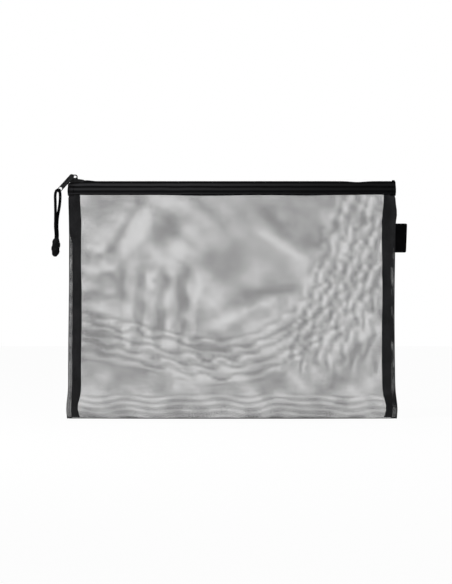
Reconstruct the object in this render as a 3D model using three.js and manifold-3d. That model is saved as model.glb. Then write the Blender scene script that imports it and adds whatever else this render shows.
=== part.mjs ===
// Zipper bag for A4 papers: a see-through mesh pouch that stands slightly open on its bottom fold.
// X runs along the zipper to the right, Y runs from the front to the back, Z runs up. Millimetres.
// The origin is the middle of the bottom fold's flat underside.
import * as THREE from 'three';
import { mergeVertices } from 'three/addons/utils/BufferGeometryUtils.js';
import Module from 'manifold-3d';

const wasm = await Module();
wasm.setup();

// Overall bag
const BAG_WIDTH = 330;
const BAG_HEIGHT = 239.6;
const GAP = 0.3;

// Mesh sheet, folded at the bottom
const MESH_THICKNESS = 0.8;
const BASE_HALF_DEPTH = 7.5;
const BASE_CORNER_RADIUS = 1.2;
const BASE_LIP_HEIGHT = 6;
const LENS_POWER = 3;
const SEAM_NOSE = 2.5;
const FOLD_COLUMNS = 6;
const FOLD_ROWS = 10;

// The panels are a plain grid of bars and openings, which stands for the fine mesh
const GRID_COLUMNS = 10;
const GRID_ROWS = 7;
const GRID_BAR = 6;
const GRID_BOTTOM = 12;
const GRID_SIDE_MARGIN = 4.5;
const GRID_TOP_MARGIN = 7.6;

// Side seams: the raw edges inside are bound with folded tape
const BINDING_WIDTH = 9.7;
const BINDING_THICKNESS = 2.4;
const BINDING_WALL = 0.5;
const BINDING_BOTTOM = 2;
const BINDING_TUCK = 4;

// Zipper tapes: each lies flat under its teeth and folds down over the mesh
const TAPE_THICKNESS = 0.5;
const TAPE_DROP = 13;
const TAPE_FOLD_RADIUS = 1.15;
const TAPE_HALF_SPAN = 4.15;
const TAPE_SLIT_HALF = 1.25;
const MESH_TUCK = 7.5;

// Folded zipper ends, and the shoulders where the mesh narrows under them
const ZIPPER_END_WIDTH = 3.3;
const ZIPPER_END_PROUD = 0.4;
const ZIPPER_END_WALL = 0.9;
const ZIPPER_END_RADIUS = 1.6;
const SHOULDER_BELOW_TAPE = 2;
const SHOULDER_DROP = 26;
const SHOULDER_RISE = 5;

// Teeth
const TOOTH_PITCH = 1.7;
const TOOTH_HEIGHT = 1.6;
const TOOTH_CLEARANCE = 0.16;
const TOOTH_REACH = 0.7;
const TOOTH_LOCK = 0.06;
const SPINE_INNER = 1.0;
const SPINE_OUTER = 2.3;

// Slider
const SLIDER_LENGTH = 14.5;
const SLIDER_OVERHANG = 1.7;
const SLIDER_WALL = 0.8;
const SLIDER_RUN_CLEARANCE = 0.25;
const SLIDER_CROWN = 0.4;
const TOP_PLATE_THICKNESS = 1.4;
const LOWER_PLATE_THICKNESS = 1.2;
const LOWER_PLATE_SETBACK = 2.4;
const SLIDER_NOSE_CORNER = 1.2;
const SLIDER_TAIL_CORNER = 0.8;
const SLIDER_CHEEK_LENGTH = 3;
const WEDGE_HALF_WIDTH = 0.85;
const WEDGE_START = 2.6;
const WEDGE_LENGTH = 4.8;
const WEDGE_NOSE = 1.1;
const ROW_SPREAD = 1.75;
const SPREAD_LENGTH = 8.2;

// Bridge on the slider and the pull tab that hangs from it
const BRIDGE_LENGTH = 7.8;
const BRIDGE_WALL = 1.15;
const BRIDGE_THICKNESS = 2.2;
const PIN_RADIUS = 0.8;
const PIN_CLEARANCE = 0.3;
const PIN_HEAD_RADIUS = 1.7;
const PIN_HEAD_THICKNESS = 0.7;
const PULL_LENGTH = 17.6;
const PULL_TOP_HALF_WIDTH = 2.4;
const PULL_END_HALF_WIDTH = 2.3;
const PULL_THICKNESS = 1.2;
const PULL_END_WALL = 0.9;
const PULL_LEAN_DEG = 227.6;
const PULL_GROOVE_DEPTH = 0.3;
const PULL_GROOVE_HALF_WIDTH = 0.7;
const SLOT_HALF_WIDTH = 1.6;
const SLOT_LENGTH = 5;

// Cord loop and its moulded grip
const CORD_DIAMETER = 2.6;
const CORD_SIDES = 8;
const CORD_STEPS = 44;
const CORD_TO_BAG = 1.1;
const STRANDS_APART_X = 1.5;
const STRANDS_APART_Y = 2.2;
const GRIP_LENGTH = 19;
const GRIP_SIDES = 20;
const GRIP_HALF_WIDTH = 4.1;
const GRIP_FLATNESS = 0.75;
const GRIP_LEAN_DEG = 5;
const GRIP_MOUTH_RADIUS = 2.3;
const GRIP_BESIDE_EYE = 2.6;
const GRIP_BELOW_EYE = 47.4;

// Blank ribbon tab sewn into the right seam
const TAB_REACH = 11.8;
const TAB_HEIGHT = 29.3;
const TAB_BELOW_RIDGE = 42.8;
const TAB_THICKNESS = 1.7;
const TAB_RIBBON = 0.55;
const TAB_CORNER = 1.6;
const TAB_EASE = 12;

// Heights and places worked out from the sizes above
const HALF_WIDTH = BAG_WIDTH / 2;
const HALF_MESH = MESH_THICKNESS / 2;
const TAPE_TOP = BAG_HEIGHT - TOOTH_HEIGHT - GAP;
const TAPE_BOTTOM = BAG_HEIGHT - TAPE_DROP;
const TAPE_OUTER = TAPE_HALF_SPAN + TAPE_THICKNESS / 2;
const TAPE_INNER = TAPE_HALF_SPAN - TAPE_THICKNESS / 2;
const MESH_TOP = TAPE_BOTTOM + MESH_TUCK;
const NECK_HALF_DEPTH = TAPE_INNER - GAP - HALF_MESH;
const SEAM_HALF_DEPTH = BINDING_THICKNESS / 2 + GAP + HALF_MESH;
const SEAM_EDGE_HALF_DEPTH = GAP / 2 + HALF_MESH;
const TAB_EDGE_HALF_DEPTH = TAB_THICKNESS / 2 + GAP + HALF_MESH;
const BINDING_OUTER = HALF_WIDTH - SEAM_NOSE - GAP;
const BINDING_INNER = BINDING_OUTER - BINDING_WIDTH;
const GRID_HALF_WIDTH = BINDING_INNER - GRID_SIDE_MARGIN;
const BINDING_TOP = TAPE_BOTTOM + BINDING_TUCK;
const TAPE_HALF_LENGTH = HALF_WIDTH - ZIPPER_END_WIDTH;
const SHOULDER_TOP = TAPE_BOTTOM - SHOULDER_BELOW_TAPE;
const TAB_TOP = BAG_HEIGHT - TAB_BELOW_RIDGE;
const TEETH_BASE = TAPE_TOP + GAP;

const SLIDER_NOSE = -HALF_WIDTH + SLIDER_OVERHANG;
const TOP_PLATE_BASE = BAG_HEIGHT + SLIDER_RUN_CLEARANCE + GAP;
const TOP_PLATE_TOP = TOP_PLATE_BASE + TOP_PLATE_THICKNESS;
const LOWER_PLATE_TOP = TAPE_TOP - TAPE_THICKNESS - GAP;
const NOSE_HALF_WIDTH = SPINE_OUTER + ROW_SPREAD + SLIDER_RUN_CLEARANCE;
const TAIL_HALF_WIDTH = SPINE_OUTER + SLIDER_RUN_CLEARANCE * 2;
const PIVOT_X = SLIDER_NOSE + BRIDGE_WALL + PIN_CLEARANCE + PIN_RADIUS;
const PIVOT_Z = TOP_PLATE_TOP + SLIDER_CROWN + GAP + PIN_HEAD_RADIUS;

const STRAND_BACK_Y = -(NOSE_HALF_WIDTH + SLIDER_WALL + CORD_DIAMETER / 2 + GAP);
const PULL_BACK_Y = STRAND_BACK_Y - CORD_DIAMETER / 2 - GAP;
const PULL_FRONT_Y = PULL_BACK_Y - PULL_THICKNESS;
const STRAND_FRONT_Y = PULL_FRONT_Y - CORD_DIAMETER / 2 - GAP;
const GRIP_Y = -(NOSE_HALF_WIDTH + SLIDER_WALL + GRIP_HALF_WIDTH * GRIP_FLATNESS + CORD_TO_BAG);

// Small helpers
const smooth = (from, to, value) => THREE.MathUtils.smoothstep(value, from, to);
const mix = THREE.MathUtils.lerp;

function material(color, roughness, metalness) {
  return new THREE.MeshStandardMaterial({ color, roughness, metalness });
}

const meshCloth = material(0x3a3a3c, 0.55, 0);
const tapeCloth = material(0x17171a, 0.8, 0);
const coilNylon = material(0x101012, 0.45, 0);
const blackMetal = material(0x141416, 0.35, 0.6);
const cordYarn = material(0x0c0c0e, 0.85, 0);
const gripRubber = material(0x0e0e10, 0.6, 0);

function solid(geometry) {
  const plain = geometry.clone();
  plain.deleteAttribute('normal');
  plain.deleteAttribute('uv');
  const merged = mergeVertices(plain, 1e-4);
  const vertProperties = new Float32Array(merged.attributes.position.array);
  const triVerts = new Uint32Array(merged.index.array);
  return new wasm.Manifold(new wasm.Mesh({ numProp: 3, vertProperties, triVerts }));
}

function geometryOf(manifold) {
  const result = manifold.getMesh();
  const geometry = new THREE.BufferGeometry();
  geometry.setAttribute('position', new THREE.BufferAttribute(new Float32Array(result.vertProperties), 3));
  geometry.setIndex(new THREE.BufferAttribute(new Uint32Array(result.triVerts), 1));
  return geometry;
}

function piece(name, geometry, look) {
  const mesh = new THREE.Mesh(geometry, look);
  mesh.name = name;
  return mesh;
}

function outline(points) {
  return new THREE.Shape(points.map(([x, y]) => new THREE.Vector2(x, y)));
}

// A plan outline in X and Y, raised from one height to another.
function raised(shape, low, high, curveSegments = 8) {
  const geometry = new THREE.ExtrudeGeometry(shape, { depth: high - low, bevelEnabled: false, curveSegments });
  return geometry.translate(0, 0, low);
}

// A side outline in X and Z, from one depth to another.
function across(shape, front, back, curveSegments = 8) {
  const geometry = new THREE.ExtrudeGeometry(shape, { depth: back - front, bevelEnabled: false, curveSegments });
  return geometry.rotateX(Math.PI / 2).translate(0, back, 0);
}

// A cross-section in Y and Z, drawn along X.
function along(shape, left, right, curveSegments = 8) {
  const geometry = new THREE.ExtrudeGeometry(shape, { depth: right - left, bevelEnabled: false, curveSegments });
  const turn = new THREE.Matrix4().makeBasis(
    new THREE.Vector3(0, 1, 0),
    new THREE.Vector3(0, 0, 1),
    new THREE.Vector3(1, 0, 0),
  );
  return geometry.applyMatrix4(turn).translate(left, 0, 0);
}

function evenLines(count) {
  return Array.from({ length: count + 1 }, (_, n) => n / count);
}

// A closed sheet of even thickness round a curved middle surface, drawn on the given lines of u and v.
// A cell that isOpen names is left out, with a wall on each of its four sides.
function sheet(us, vs, thickness, middle, isOpen = () => false) {
  const step = 1e-4;
  const positions = [];
  for (const side of [0.5, -0.5]) {
    for (const v of vs) {
      for (const u of us) {
        const alongU = middle(u + step, v).sub(middle(u - step, v));
        const alongV = middle(u, v + step).sub(middle(u, v - step));
        const normal = alongU.cross(alongV).normalize();
        positions.push(...middle(u, v).addScaledVector(normal, side * thickness).toArray());
      }
    }
  }
  const columns = us.length - 1;
  const rows = vs.length - 1;
  const layer = us.length * vs.length;
  const at = (side, column, row) => side * layer + row * us.length + column;
  const index = [];
  const quad = (a, b, c, d) => index.push(a, b, c, a, c, d);
  // Walls between the two faces: each is named by the side of the cloth that it ends.
  const lowWall = (c, r) => quad(at(1, c, r), at(1, c + 1, r), at(0, c + 1, r), at(0, c, r));
  const highWall = (c, r) => quad(at(0, c, r), at(0, c + 1, r), at(1, c + 1, r), at(1, c, r));
  const leftWall = (c, r) => quad(at(0, c, r), at(0, c, r + 1), at(1, c, r + 1), at(1, c, r));
  const rightWall = (c, r) => quad(at(1, c, r), at(1, c, r + 1), at(0, c, r + 1), at(0, c, r));
  for (let r = 0; r < rows; r += 1) {
    for (let c = 0; c < columns; c += 1) {
      if (isOpen(c, r)) {
        highWall(c, r);
        lowWall(c, r + 1);
        rightWall(c, r);
        leftWall(c + 1, r);
      } else {
        quad(at(0, c, r), at(0, c + 1, r), at(0, c + 1, r + 1), at(0, c, r + 1));
        quad(at(1, c, r), at(1, c, r + 1), at(1, c + 1, r + 1), at(1, c + 1, r));
      }
    }
  }
  for (let c = 0; c < columns; c += 1) {
    lowWall(c, 0);
    highWall(c, rows);
  }
  for (let r = 0; r < rows; r += 1) {
    leftWall(0, r);
    rightWall(columns, r);
  }
  const geometry = new THREE.BufferGeometry();
  geometry.setAttribute('position', new THREE.BufferAttribute(new Float32Array(positions), 3));
  geometry.setIndex(index);
  return geometry;
}

// Half width of the mesh at a height: it narrows under the folded zipper ends.
function meshHalfWidth(z) {
  return mix(HALF_WIDTH, TAPE_HALF_LENGTH, smooth(SHOULDER_TOP - SHOULDER_RISE, SHOULDER_TOP, z));
}

// Distance of the mesh's middle surface from the bag's middle plane.
function meshHalfDepth(x, z) {
  const shoulder = smooth(TAPE_BOTTOM - SHOULDER_DROP, SHOULDER_TOP, z);
  const centre = mix(BASE_HALF_DEPTH, NECK_HALF_DEPTH, smooth(0, SHOULDER_TOP, z));
  const seam = mix(SEAM_HALF_DEPTH, NECK_HALF_DEPTH, shoulder);
  const overTabFoot = smooth(TAB_TOP - TAB_HEIGHT - TAB_EASE * 2, TAB_TOP - TAB_HEIGHT - TAB_EASE, z);
  const underTabTop = 1 - smooth(TAB_TOP + TAB_EASE, TAB_TOP + TAB_EASE * 2, z);
  const atTab = x > 0 ? overTabFoot * underTabTop : 0;
  const edgeAtTab = mix(SEAM_EDGE_HALF_DEPTH, TAB_EDGE_HALF_DEPTH, atTab);
  const edge = mix(edgeAtTab, NECK_HALF_DEPTH, shoulder);
  const reach = Math.abs(x);
  const noseStart = meshHalfWidth(z) - SEAM_NOSE;
  if (reach > noseStart) {
    const t = Math.min((reach - noseStart) / SEAM_NOSE, 1);
    return edge + (seam - edge) * Math.sqrt(1 - t * t);
  }
  const across01 = Math.min(reach / BINDING_INNER, 1);
  return seam + (centre - seam) * (1 - across01 ** LENS_POWER);
}

// Places across the bag: the given ones, and four more at each side that follow the seam's rounded edge.
function columnsWithSeams(inner) {
  const noseStart = HALF_WIDTH - SEAM_NOSE;
  const seam = [(GRID_HALF_WIDTH + noseStart) / 2, noseStart, noseStart + SEAM_NOSE * 0.7, HALF_WIDTH];
  return [...seam.map((x) => -x).reverse(), ...inner, ...seam];
}

// Lines on both sides of each opening, from one end of the grid to the other.
function gridLines(from, to, count, bar) {
  const opening = (to - from - bar * (count - 1)) / count;
  const lines = [];
  for (let n = 0; n < count; n += 1) {
    const start = from + n * (opening + bar);
    lines.push(start, start + opening);
  }
  return lines;
}

function meshPanel(side) {
  const low = BASE_LIP_HEIGHT + GAP;
  const grid = gridLines(-GRID_HALF_WIDTH, GRID_HALF_WIDTH, GRID_COLUMNS, GRID_BAR);
  const columns = columnsWithSeams(grid);
  const gridStart = columns.indexOf(grid[0]);
  const gridTop = TAPE_BOTTOM - GRID_TOP_MARGIN;
  const rows = [
    low,
    ...gridLines(GRID_BOTTOM, gridTop, GRID_ROWS, GRID_BAR),
    SHOULDER_TOP - SHOULDER_RISE / 2,
    SHOULDER_TOP,
    MESH_TOP,
  ];
  const middle = (place, z) => {
    const x = (side * -place * meshHalfWidth(z)) / HALF_WIDTH;
    return new THREE.Vector3(x, side * meshHalfDepth(x, z), z);
  };
  const isOpen = (c, r) => {
    const across = c - gridStart;
    const up = r - 1;
    const inGrid = across >= 0 && across < GRID_COLUMNS * 2 - 1 && up >= 0 && up < GRID_ROWS * 2 - 1;
    return inGrid && across % 2 === 0 && up % 2 === 0;
  };
  return sheet(columns, rows, MESH_THICKNESS, middle, isOpen);
}

// The bottom fold: the same sheet, turned up at the front and the back of a flat strip.
function bottomFold() {
  const inner = evenLines(FOLD_COLUMNS).map((t) => (t * 2 - 1) * GRID_HALF_WIDTH);
  const middle = (place, v) => {
    const x = THREE.MathUtils.clamp(place, -HALF_WIDTH, HALF_WIDTH);
    const depth = meshHalfDepth(x, 0);
    const radius = Math.min(BASE_CORNER_RADIUS, depth - GAP / 2);
    const base = HALF_MESH;
    const rise = BASE_LIP_HEIGHT - base - radius;
    const t = THREE.MathUtils.clamp(v, 0, 1);
    const side = t < 0.5 ? -1 : 1;
    const s = Math.abs(t - 0.5) * 2;
    const flatEnd = 0.4;
    const turnEnd = 0.8;
    if (s < flatEnd) {
      return new THREE.Vector3(x, side * (s / flatEnd) * (depth - radius), base);
    }
    if (s < turnEnd) {
      const angle = ((s - flatEnd) / (turnEnd - flatEnd)) * (Math.PI / 2);
      const y = depth - radius + radius * Math.sin(angle);
      return new THREE.Vector3(x, side * y, base + radius * (1 - Math.cos(angle)));
    }
    return new THREE.Vector3(x, side * depth, base + radius + ((s - turnEnd) / (1 - turnEnd)) * rise);
  };
  return sheet(columnsWithSeams(inner), evenLines(FOLD_ROWS), MESH_THICKNESS, middle);
}

// Binding: a tape folded in a U round the raw edges, open towards the bag's middle.
function seamBinding(side) {
  const half = BINDING_THICKNESS / 2;
  const shape = new THREE.Shape();
  shape.moveTo(BINDING_INNER, -half);
  shape.lineTo(BINDING_OUTER - half, -half);
  shape.absarc(BINDING_OUTER - half, 0, half, -Math.PI / 2, Math.PI / 2, false);
  shape.lineTo(BINDING_INNER, half);
  shape.lineTo(BINDING_INNER, half - BINDING_WALL);
  shape.lineTo(BINDING_OUTER - half, half - BINDING_WALL);
  shape.absarc(BINDING_OUTER - half, 0, half - BINDING_WALL, Math.PI / 2, -Math.PI / 2, true);
  shape.lineTo(BINDING_INNER, -half + BINDING_WALL);
  const geometry = raised(shape, BINDING_BOTTOM, BINDING_TOP, 6);
  return side > 0 ? geometry : geometry.rotateZ(Math.PI);
}

// Zipper tape: flat under the teeth, then folded down outside the mesh.
function zipperTape(side) {
  const bend = TAPE_HALF_SPAN - TAPE_FOLD_RADIUS;
  const outerRadius = TAPE_FOLD_RADIUS + TAPE_THICKNESS / 2;
  const innerRadius = TAPE_FOLD_RADIUS - TAPE_THICKNESS / 2;
  const bendHeight = TAPE_TOP - outerRadius;
  const shape = new THREE.Shape();
  shape.moveTo(TAPE_SLIT_HALF, TAPE_TOP - TAPE_THICKNESS);
  shape.lineTo(bend, TAPE_TOP - TAPE_THICKNESS);
  shape.absarc(bend, bendHeight, innerRadius, Math.PI / 2, 0, true);
  shape.lineTo(TAPE_INNER, TAPE_BOTTOM);
  shape.lineTo(TAPE_OUTER, TAPE_BOTTOM);
  shape.absarc(bend, bendHeight, outerRadius, 0, Math.PI / 2, false);
  shape.lineTo(TAPE_SLIT_HALF, TAPE_TOP);
  const geometry = along(shape, -TAPE_HALF_LENGTH, TAPE_HALF_LENGTH, 6);
  return side > 0 ? geometry : geometry.rotateZ(Math.PI);
}

// How far a row stands out of the closed chain at a place along the zipper: the slider's wedge parts the rows.
function rowSpread(x) {
  const start = SLIDER_NOSE + WEDGE_START + WEDGE_NOSE;
  return ROW_SPREAD * (1 - smooth(start, start + SPREAD_LENGTH, x));
}

// One row of teeth: a spine with dovetail heads that lock between those of the other row.
function teethRow(side) {
  const headHalf = TOOTH_PITCH / 4 - TOOTH_CLEARANCE / 2 + TOOTH_LOCK;
  const neckHalf = headHalf - TOOTH_LOCK * 2;
  const place = (x, y) => [x, side * (y + rowSpread(x))];
  const first = -TAPE_HALF_LENGTH + TOOTH_PITCH / 2;
  const count = Math.floor((TAPE_HALF_LENGTH * 2 - TOOTH_PITCH * 1.5) / TOOTH_PITCH);
  const shift = side > 0 ? TOOTH_PITCH / 2 : 0;
  const points = [place(-TAPE_HALF_LENGTH, SPINE_INNER)];
  for (let n = 0; n < count; n += 1) {
    const x = first + shift + n * TOOTH_PITCH;
    points.push(place(x - neckHalf, SPINE_INNER));
    points.push(place(x - headHalf, -TOOTH_REACH));
    points.push(place(x + headHalf, -TOOTH_REACH));
    points.push(place(x + neckHalf, SPINE_INNER));
  }
  points.push(place(TAPE_HALF_LENGTH, SPINE_INNER));
  points.push(place(TAPE_HALF_LENGTH, SPINE_OUTER));
  const outerSteps = 14;
  for (let n = outerSteps; n >= 0; n -= 1) {
    const x = SLIDER_NOSE + SLIDER_LENGTH * (n / outerSteps);
    if (x > -TAPE_HALF_LENGTH) points.push(place(x, SPINE_OUTER));
  }
  points.push(place(-TAPE_HALF_LENGTH, SPINE_OUTER));
  return raised(outline(points), TEETH_BASE, TEETH_BASE + TOOTH_HEIGHT);
}

// The end of both tapes, folded round and sewn down over the top of the side seam.
function zipperEnd(side) {
  const start = TAPE_HALF_LENGTH + GAP;
  const end = HALF_WIDTH + ZIPPER_END_PROUD;
  const wall = ZIPPER_END_WALL;
  const radius = ZIPPER_END_RADIUS;
  const shape = new THREE.Shape();
  shape.moveTo(start, -TAPE_OUTER);
  shape.lineTo(end - radius, -TAPE_OUTER);
  shape.absarc(end - radius, -TAPE_OUTER + radius, radius, -Math.PI / 2, 0, false);
  shape.lineTo(end, TAPE_OUTER - radius);
  shape.absarc(end - radius, TAPE_OUTER - radius, radius, 0, Math.PI / 2, false);
  shape.lineTo(start, TAPE_OUTER);
  shape.lineTo(start, TAPE_OUTER - wall);
  shape.lineTo(end - radius, TAPE_OUTER - wall);
  shape.absarc(end - radius, TAPE_OUTER - radius, radius - wall, Math.PI / 2, 0, true);
  shape.lineTo(end - wall, -TAPE_OUTER + radius);
  shape.absarc(end - radius, -TAPE_OUTER + radius, radius - wall, 0, -Math.PI / 2, true);
  shape.lineTo(start, -TAPE_OUTER + wall);
  const geometry = raised(shape, SHOULDER_TOP + GAP, TAPE_TOP, 4);
  return side > 0 ? geometry : geometry.rotateZ(Math.PI);
}

// Ribbon tab: folded in half, its two ends held between the mesh layers at the right seam.
function sideTab() {
  const half = TAB_THICKNESS / 2;
  const start = BINDING_OUTER + GAP;
  const end = HALF_WIDTH + TAB_REACH;
  const bottom = TAB_TOP - TAB_HEIGHT;
  const shape = new THREE.Shape();
  shape.moveTo(start, -half);
  shape.lineTo(end - half, -half);
  shape.absarc(end - half, 0, half, -Math.PI / 2, Math.PI / 2, false);
  shape.lineTo(start, half);
  shape.lineTo(start, half - TAB_RIBBON);
  shape.lineTo(end - half, half - TAB_RIBBON);
  shape.absarc(end - half, 0, half - TAB_RIBBON, Math.PI / 2, -Math.PI / 2, true);
  shape.lineTo(start, -half + TAB_RIBBON);
  const face = new THREE.Shape();
  face.moveTo(start - 1, bottom);
  face.lineTo(end - TAB_CORNER, bottom);
  face.absarc(end - TAB_CORNER, bottom + TAB_CORNER, TAB_CORNER, -Math.PI / 2, 0, false);
  face.lineTo(end, TAB_TOP - TAB_CORNER);
  face.absarc(end - TAB_CORNER, TAB_TOP - TAB_CORNER, TAB_CORNER, 0, Math.PI / 2, false);
  face.lineTo(start - 1, TAB_TOP);
  const ribbon = solid(raised(shape, bottom, TAB_TOP, 6));
  return geometryOf(ribbon.intersect(solid(across(face, -half - 1, half + 1, 6))));
}

// Slider: a crowned top plate with two side walls, a lower plate inside the bag and the wedge between them.
function slider() {
  const outlineAt = (noseHalf, tailHalf, from, to) => {
    const shape = new THREE.Shape();
    const shoulder = from + (to - from) * 0.45;
    const narrow = shoulder + 2;
    const cheek = from + SLIDER_CHEEK_LENGTH;
    const noseRound = SLIDER_NOSE_CORNER;
    const tailRound = SLIDER_TAIL_CORNER;
    shape.moveTo(from, -noseHalf + noseRound);
    shape.quadraticCurveTo(from, -noseHalf, from + noseRound, -noseHalf);
    shape.lineTo(cheek, -noseHalf);
    shape.quadraticCurveTo(shoulder, -noseHalf, narrow, -tailHalf);
    shape.lineTo(to - tailRound, -tailHalf);
    shape.quadraticCurveTo(to, -tailHalf, to, -tailHalf + tailRound);
    shape.lineTo(to, tailHalf - tailRound);
    shape.quadraticCurveTo(to, tailHalf, to - tailRound, tailHalf);
    shape.lineTo(narrow, tailHalf);
    shape.quadraticCurveTo(shoulder, noseHalf, cheek, noseHalf);
    shape.lineTo(from + noseRound, noseHalf);
    shape.quadraticCurveTo(from, noseHalf, from, noseHalf - noseRound);
    return shape;
  };
  const nose = SLIDER_NOSE;
  const tail = SLIDER_NOSE + SLIDER_LENGTH;
  const outerNose = NOSE_HALF_WIDTH + SLIDER_WALL;
  const outerTail = TAIL_HALF_WIDTH + SLIDER_WALL;
  const body = solid(raised(outlineAt(outerNose, outerTail, nose, tail), TEETH_BASE, TOP_PLATE_TOP + 2, 5));

  const crown = new THREE.Shape();
  crown.moveTo(nose - 1, TEETH_BASE - 1);
  crown.lineTo(tail + 1, TEETH_BASE - 1);
  crown.lineTo(tail + 1, TOP_PLATE_BASE + TOP_PLATE_THICKNESS * 0.3);
  crown.quadraticCurveTo(tail - 4, TOP_PLATE_TOP, nose + 5, TOP_PLATE_TOP + SLIDER_CROWN);
  crown.quadraticCurveTo(nose + 1, TOP_PLATE_TOP + SLIDER_CROWN, nose - 1, TOP_PLATE_BASE + TOP_PLATE_THICKNESS);
  const crowned = body.intersect(solid(across(crown, -outerNose - 1, outerNose + 1, 8)));

  // The channel that the two rows run in, open at both ends.
  const channel = new THREE.Shape();
  const merge = nose + WEDGE_START + WEDGE_NOSE + SPREAD_LENGTH;
  channel.moveTo(nose - 1, -NOSE_HALF_WIDTH);
  channel.lineTo(nose + WEDGE_START + WEDGE_NOSE + 1, -NOSE_HALF_WIDTH);
  channel.lineTo(merge, -TAIL_HALF_WIDTH);
  channel.lineTo(tail + 1, -TAIL_HALF_WIDTH);
  channel.lineTo(tail + 1, TAIL_HALF_WIDTH);
  channel.lineTo(merge, TAIL_HALF_WIDTH);
  channel.lineTo(nose + WEDGE_START + WEDGE_NOSE + 1, NOSE_HALF_WIDTH);
  channel.lineTo(nose - 1, NOSE_HALF_WIDTH);
  const hollow = crowned.subtract(solid(raised(channel, TEETH_BASE - 1, TOP_PLATE_BASE)));

  const lowerHalf = TAPE_INNER - GAP * 2;
  const lowerFrom = nose + LOWER_PLATE_SETBACK;
  const lowerOutline = outlineAt(lowerHalf, Math.min(lowerHalf, outerTail) - 0.3, lowerFrom, tail - 0.6);
  const lowerPlate = solid(raised(lowerOutline, LOWER_PLATE_TOP - LOWER_PLATE_THICKNESS, LOWER_PLATE_TOP, 5));

  const wedgeStart = nose + WEDGE_START;
  const wedge = new THREE.Shape();
  wedge.moveTo(wedgeStart, 0);
  wedge.quadraticCurveTo(wedgeStart, -WEDGE_HALF_WIDTH, wedgeStart + WEDGE_NOSE, -WEDGE_HALF_WIDTH);
  wedge.lineTo(wedgeStart + WEDGE_LENGTH, -0.15);
  wedge.lineTo(wedgeStart + WEDGE_LENGTH, 0.15);
  wedge.lineTo(wedgeStart + WEDGE_NOSE, WEDGE_HALF_WIDTH);
  wedge.quadraticCurveTo(wedgeStart, WEDGE_HALF_WIDTH, wedgeStart, 0);
  const post = solid(raised(wedge, LOWER_PLATE_TOP - LOWER_PLATE_THICKNESS / 2, TOP_PLATE_BASE + 0.5, 4));

  return geometryOf(hollow.add(lowerPlate).add(post).add(bridge()));
}

// Bridge: an arch over the slider's front half, whose opening holds the pull tab's pin.
function bridge() {
  const left = SLIDER_NOSE;
  const right = left + BRIDGE_LENGTH;
  const foot = TOP_PLATE_TOP - 0.4;
  const top = PIVOT_Z + PIN_RADIUS + PIN_CLEARANCE + BRIDGE_WALL;
  const round = 2.4;
  const arch = new THREE.Shape();
  arch.moveTo(left, foot);
  arch.lineTo(right + 0.8, foot);
  arch.quadraticCurveTo(right, foot + 1, right, top - round);
  arch.quadraticCurveTo(right, top, right - round, top);
  arch.lineTo(left + round, top);
  arch.quadraticCurveTo(left, top, left, top - round);
  const hole = new THREE.Path();
  const holeLeft = PIVOT_X - PIN_RADIUS - PIN_CLEARANCE;
  const holeRight = right - BRIDGE_WALL;
  const holeLow = PIVOT_Z - PIN_RADIUS - PIN_CLEARANCE;
  const holeTop = PIVOT_Z + PIN_RADIUS + PIN_CLEARANCE;
  const holeRadius = (holeTop - holeLow) / 2;
  hole.absarc(holeLeft + holeRadius, PIVOT_Z, holeRadius, Math.PI / 2, -Math.PI / 2, false);
  hole.absarc(holeRight - holeRadius, PIVOT_Z, holeRadius, -Math.PI / 2, Math.PI / 2, false);
  arch.holes.push(hole);
  return solid(across(arch, -BRIDGE_THICKNESS / 2, BRIDGE_THICKNESS / 2, 10));
}

// Pull tab: a tapered bar in front of the zipper, with a pin through the bridge and a head behind it.
// It is drawn along its own length from the pivot, then leaned.
function pullTab() {
  const end = PULL_LENGTH + SLOT_LENGTH / 2 + PULL_END_WALL;
  const bar = new THREE.Shape();
  bar.absarc(0, 0, PULL_TOP_HALF_WIDTH, Math.PI / 2, Math.PI * 1.5, false);
  bar.lineTo(end - 1.2, -PULL_END_HALF_WIDTH);
  bar.quadraticCurveTo(end, -PULL_END_HALF_WIDTH, end, -PULL_END_HALF_WIDTH + 1.2);
  bar.lineTo(end, PULL_END_HALF_WIDTH - 1.2);
  bar.quadraticCurveTo(end, PULL_END_HALF_WIDTH, end - 1.2, PULL_END_HALF_WIDTH);
  const slot = new THREE.Path();
  const slotReach = SLOT_LENGTH / 2 - SLOT_HALF_WIDTH;
  slot.absarc(PULL_LENGTH - slotReach, 0, SLOT_HALF_WIDTH, Math.PI / 2, Math.PI * 1.5, false);
  slot.absarc(PULL_LENGTH + slotReach, 0, SLOT_HALF_WIDTH, -Math.PI / 2, Math.PI / 2, false);
  bar.holes.push(slot);
  const plate = solid(across(bar, PULL_FRONT_Y, PULL_BACK_Y, 8));

  const groove = new THREE.Shape();
  const grooveEnd = PULL_LENGTH - SLOT_LENGTH;
  groove.absarc(3.4, 0, PULL_GROOVE_HALF_WIDTH, Math.PI / 2, Math.PI * 1.5, false);
  groove.absarc(grooveEnd, 0, PULL_GROOVE_HALF_WIDTH, -Math.PI / 2, Math.PI / 2, false);
  const cut = solid(across(groove, PULL_FRONT_Y - 1, PULL_FRONT_Y + PULL_GROOVE_DEPTH, 5));

  const headFront = BRIDGE_THICKNESS / 2 + GAP;
  const pin = solid(across(disc(PIN_RADIUS), PULL_BACK_Y - 0.2, headFront + 0.2, 10));
  const head = solid(across(disc(PIN_HEAD_RADIUS), headFront, headFront + PIN_HEAD_THICKNESS, 10));
  const whole = geometryOf(plate.subtract(cut).add(pin).add(head));
  return whole.rotateY(-THREE.MathUtils.degToRad(PULL_LEAN_DEG)).translate(PIVOT_X, 0, PIVOT_Z);
}

function disc(radius) {
  const shape = new THREE.Shape();
  shape.absarc(0, 0, radius, 0, Math.PI * 2, false);
  return shape;
}

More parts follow.
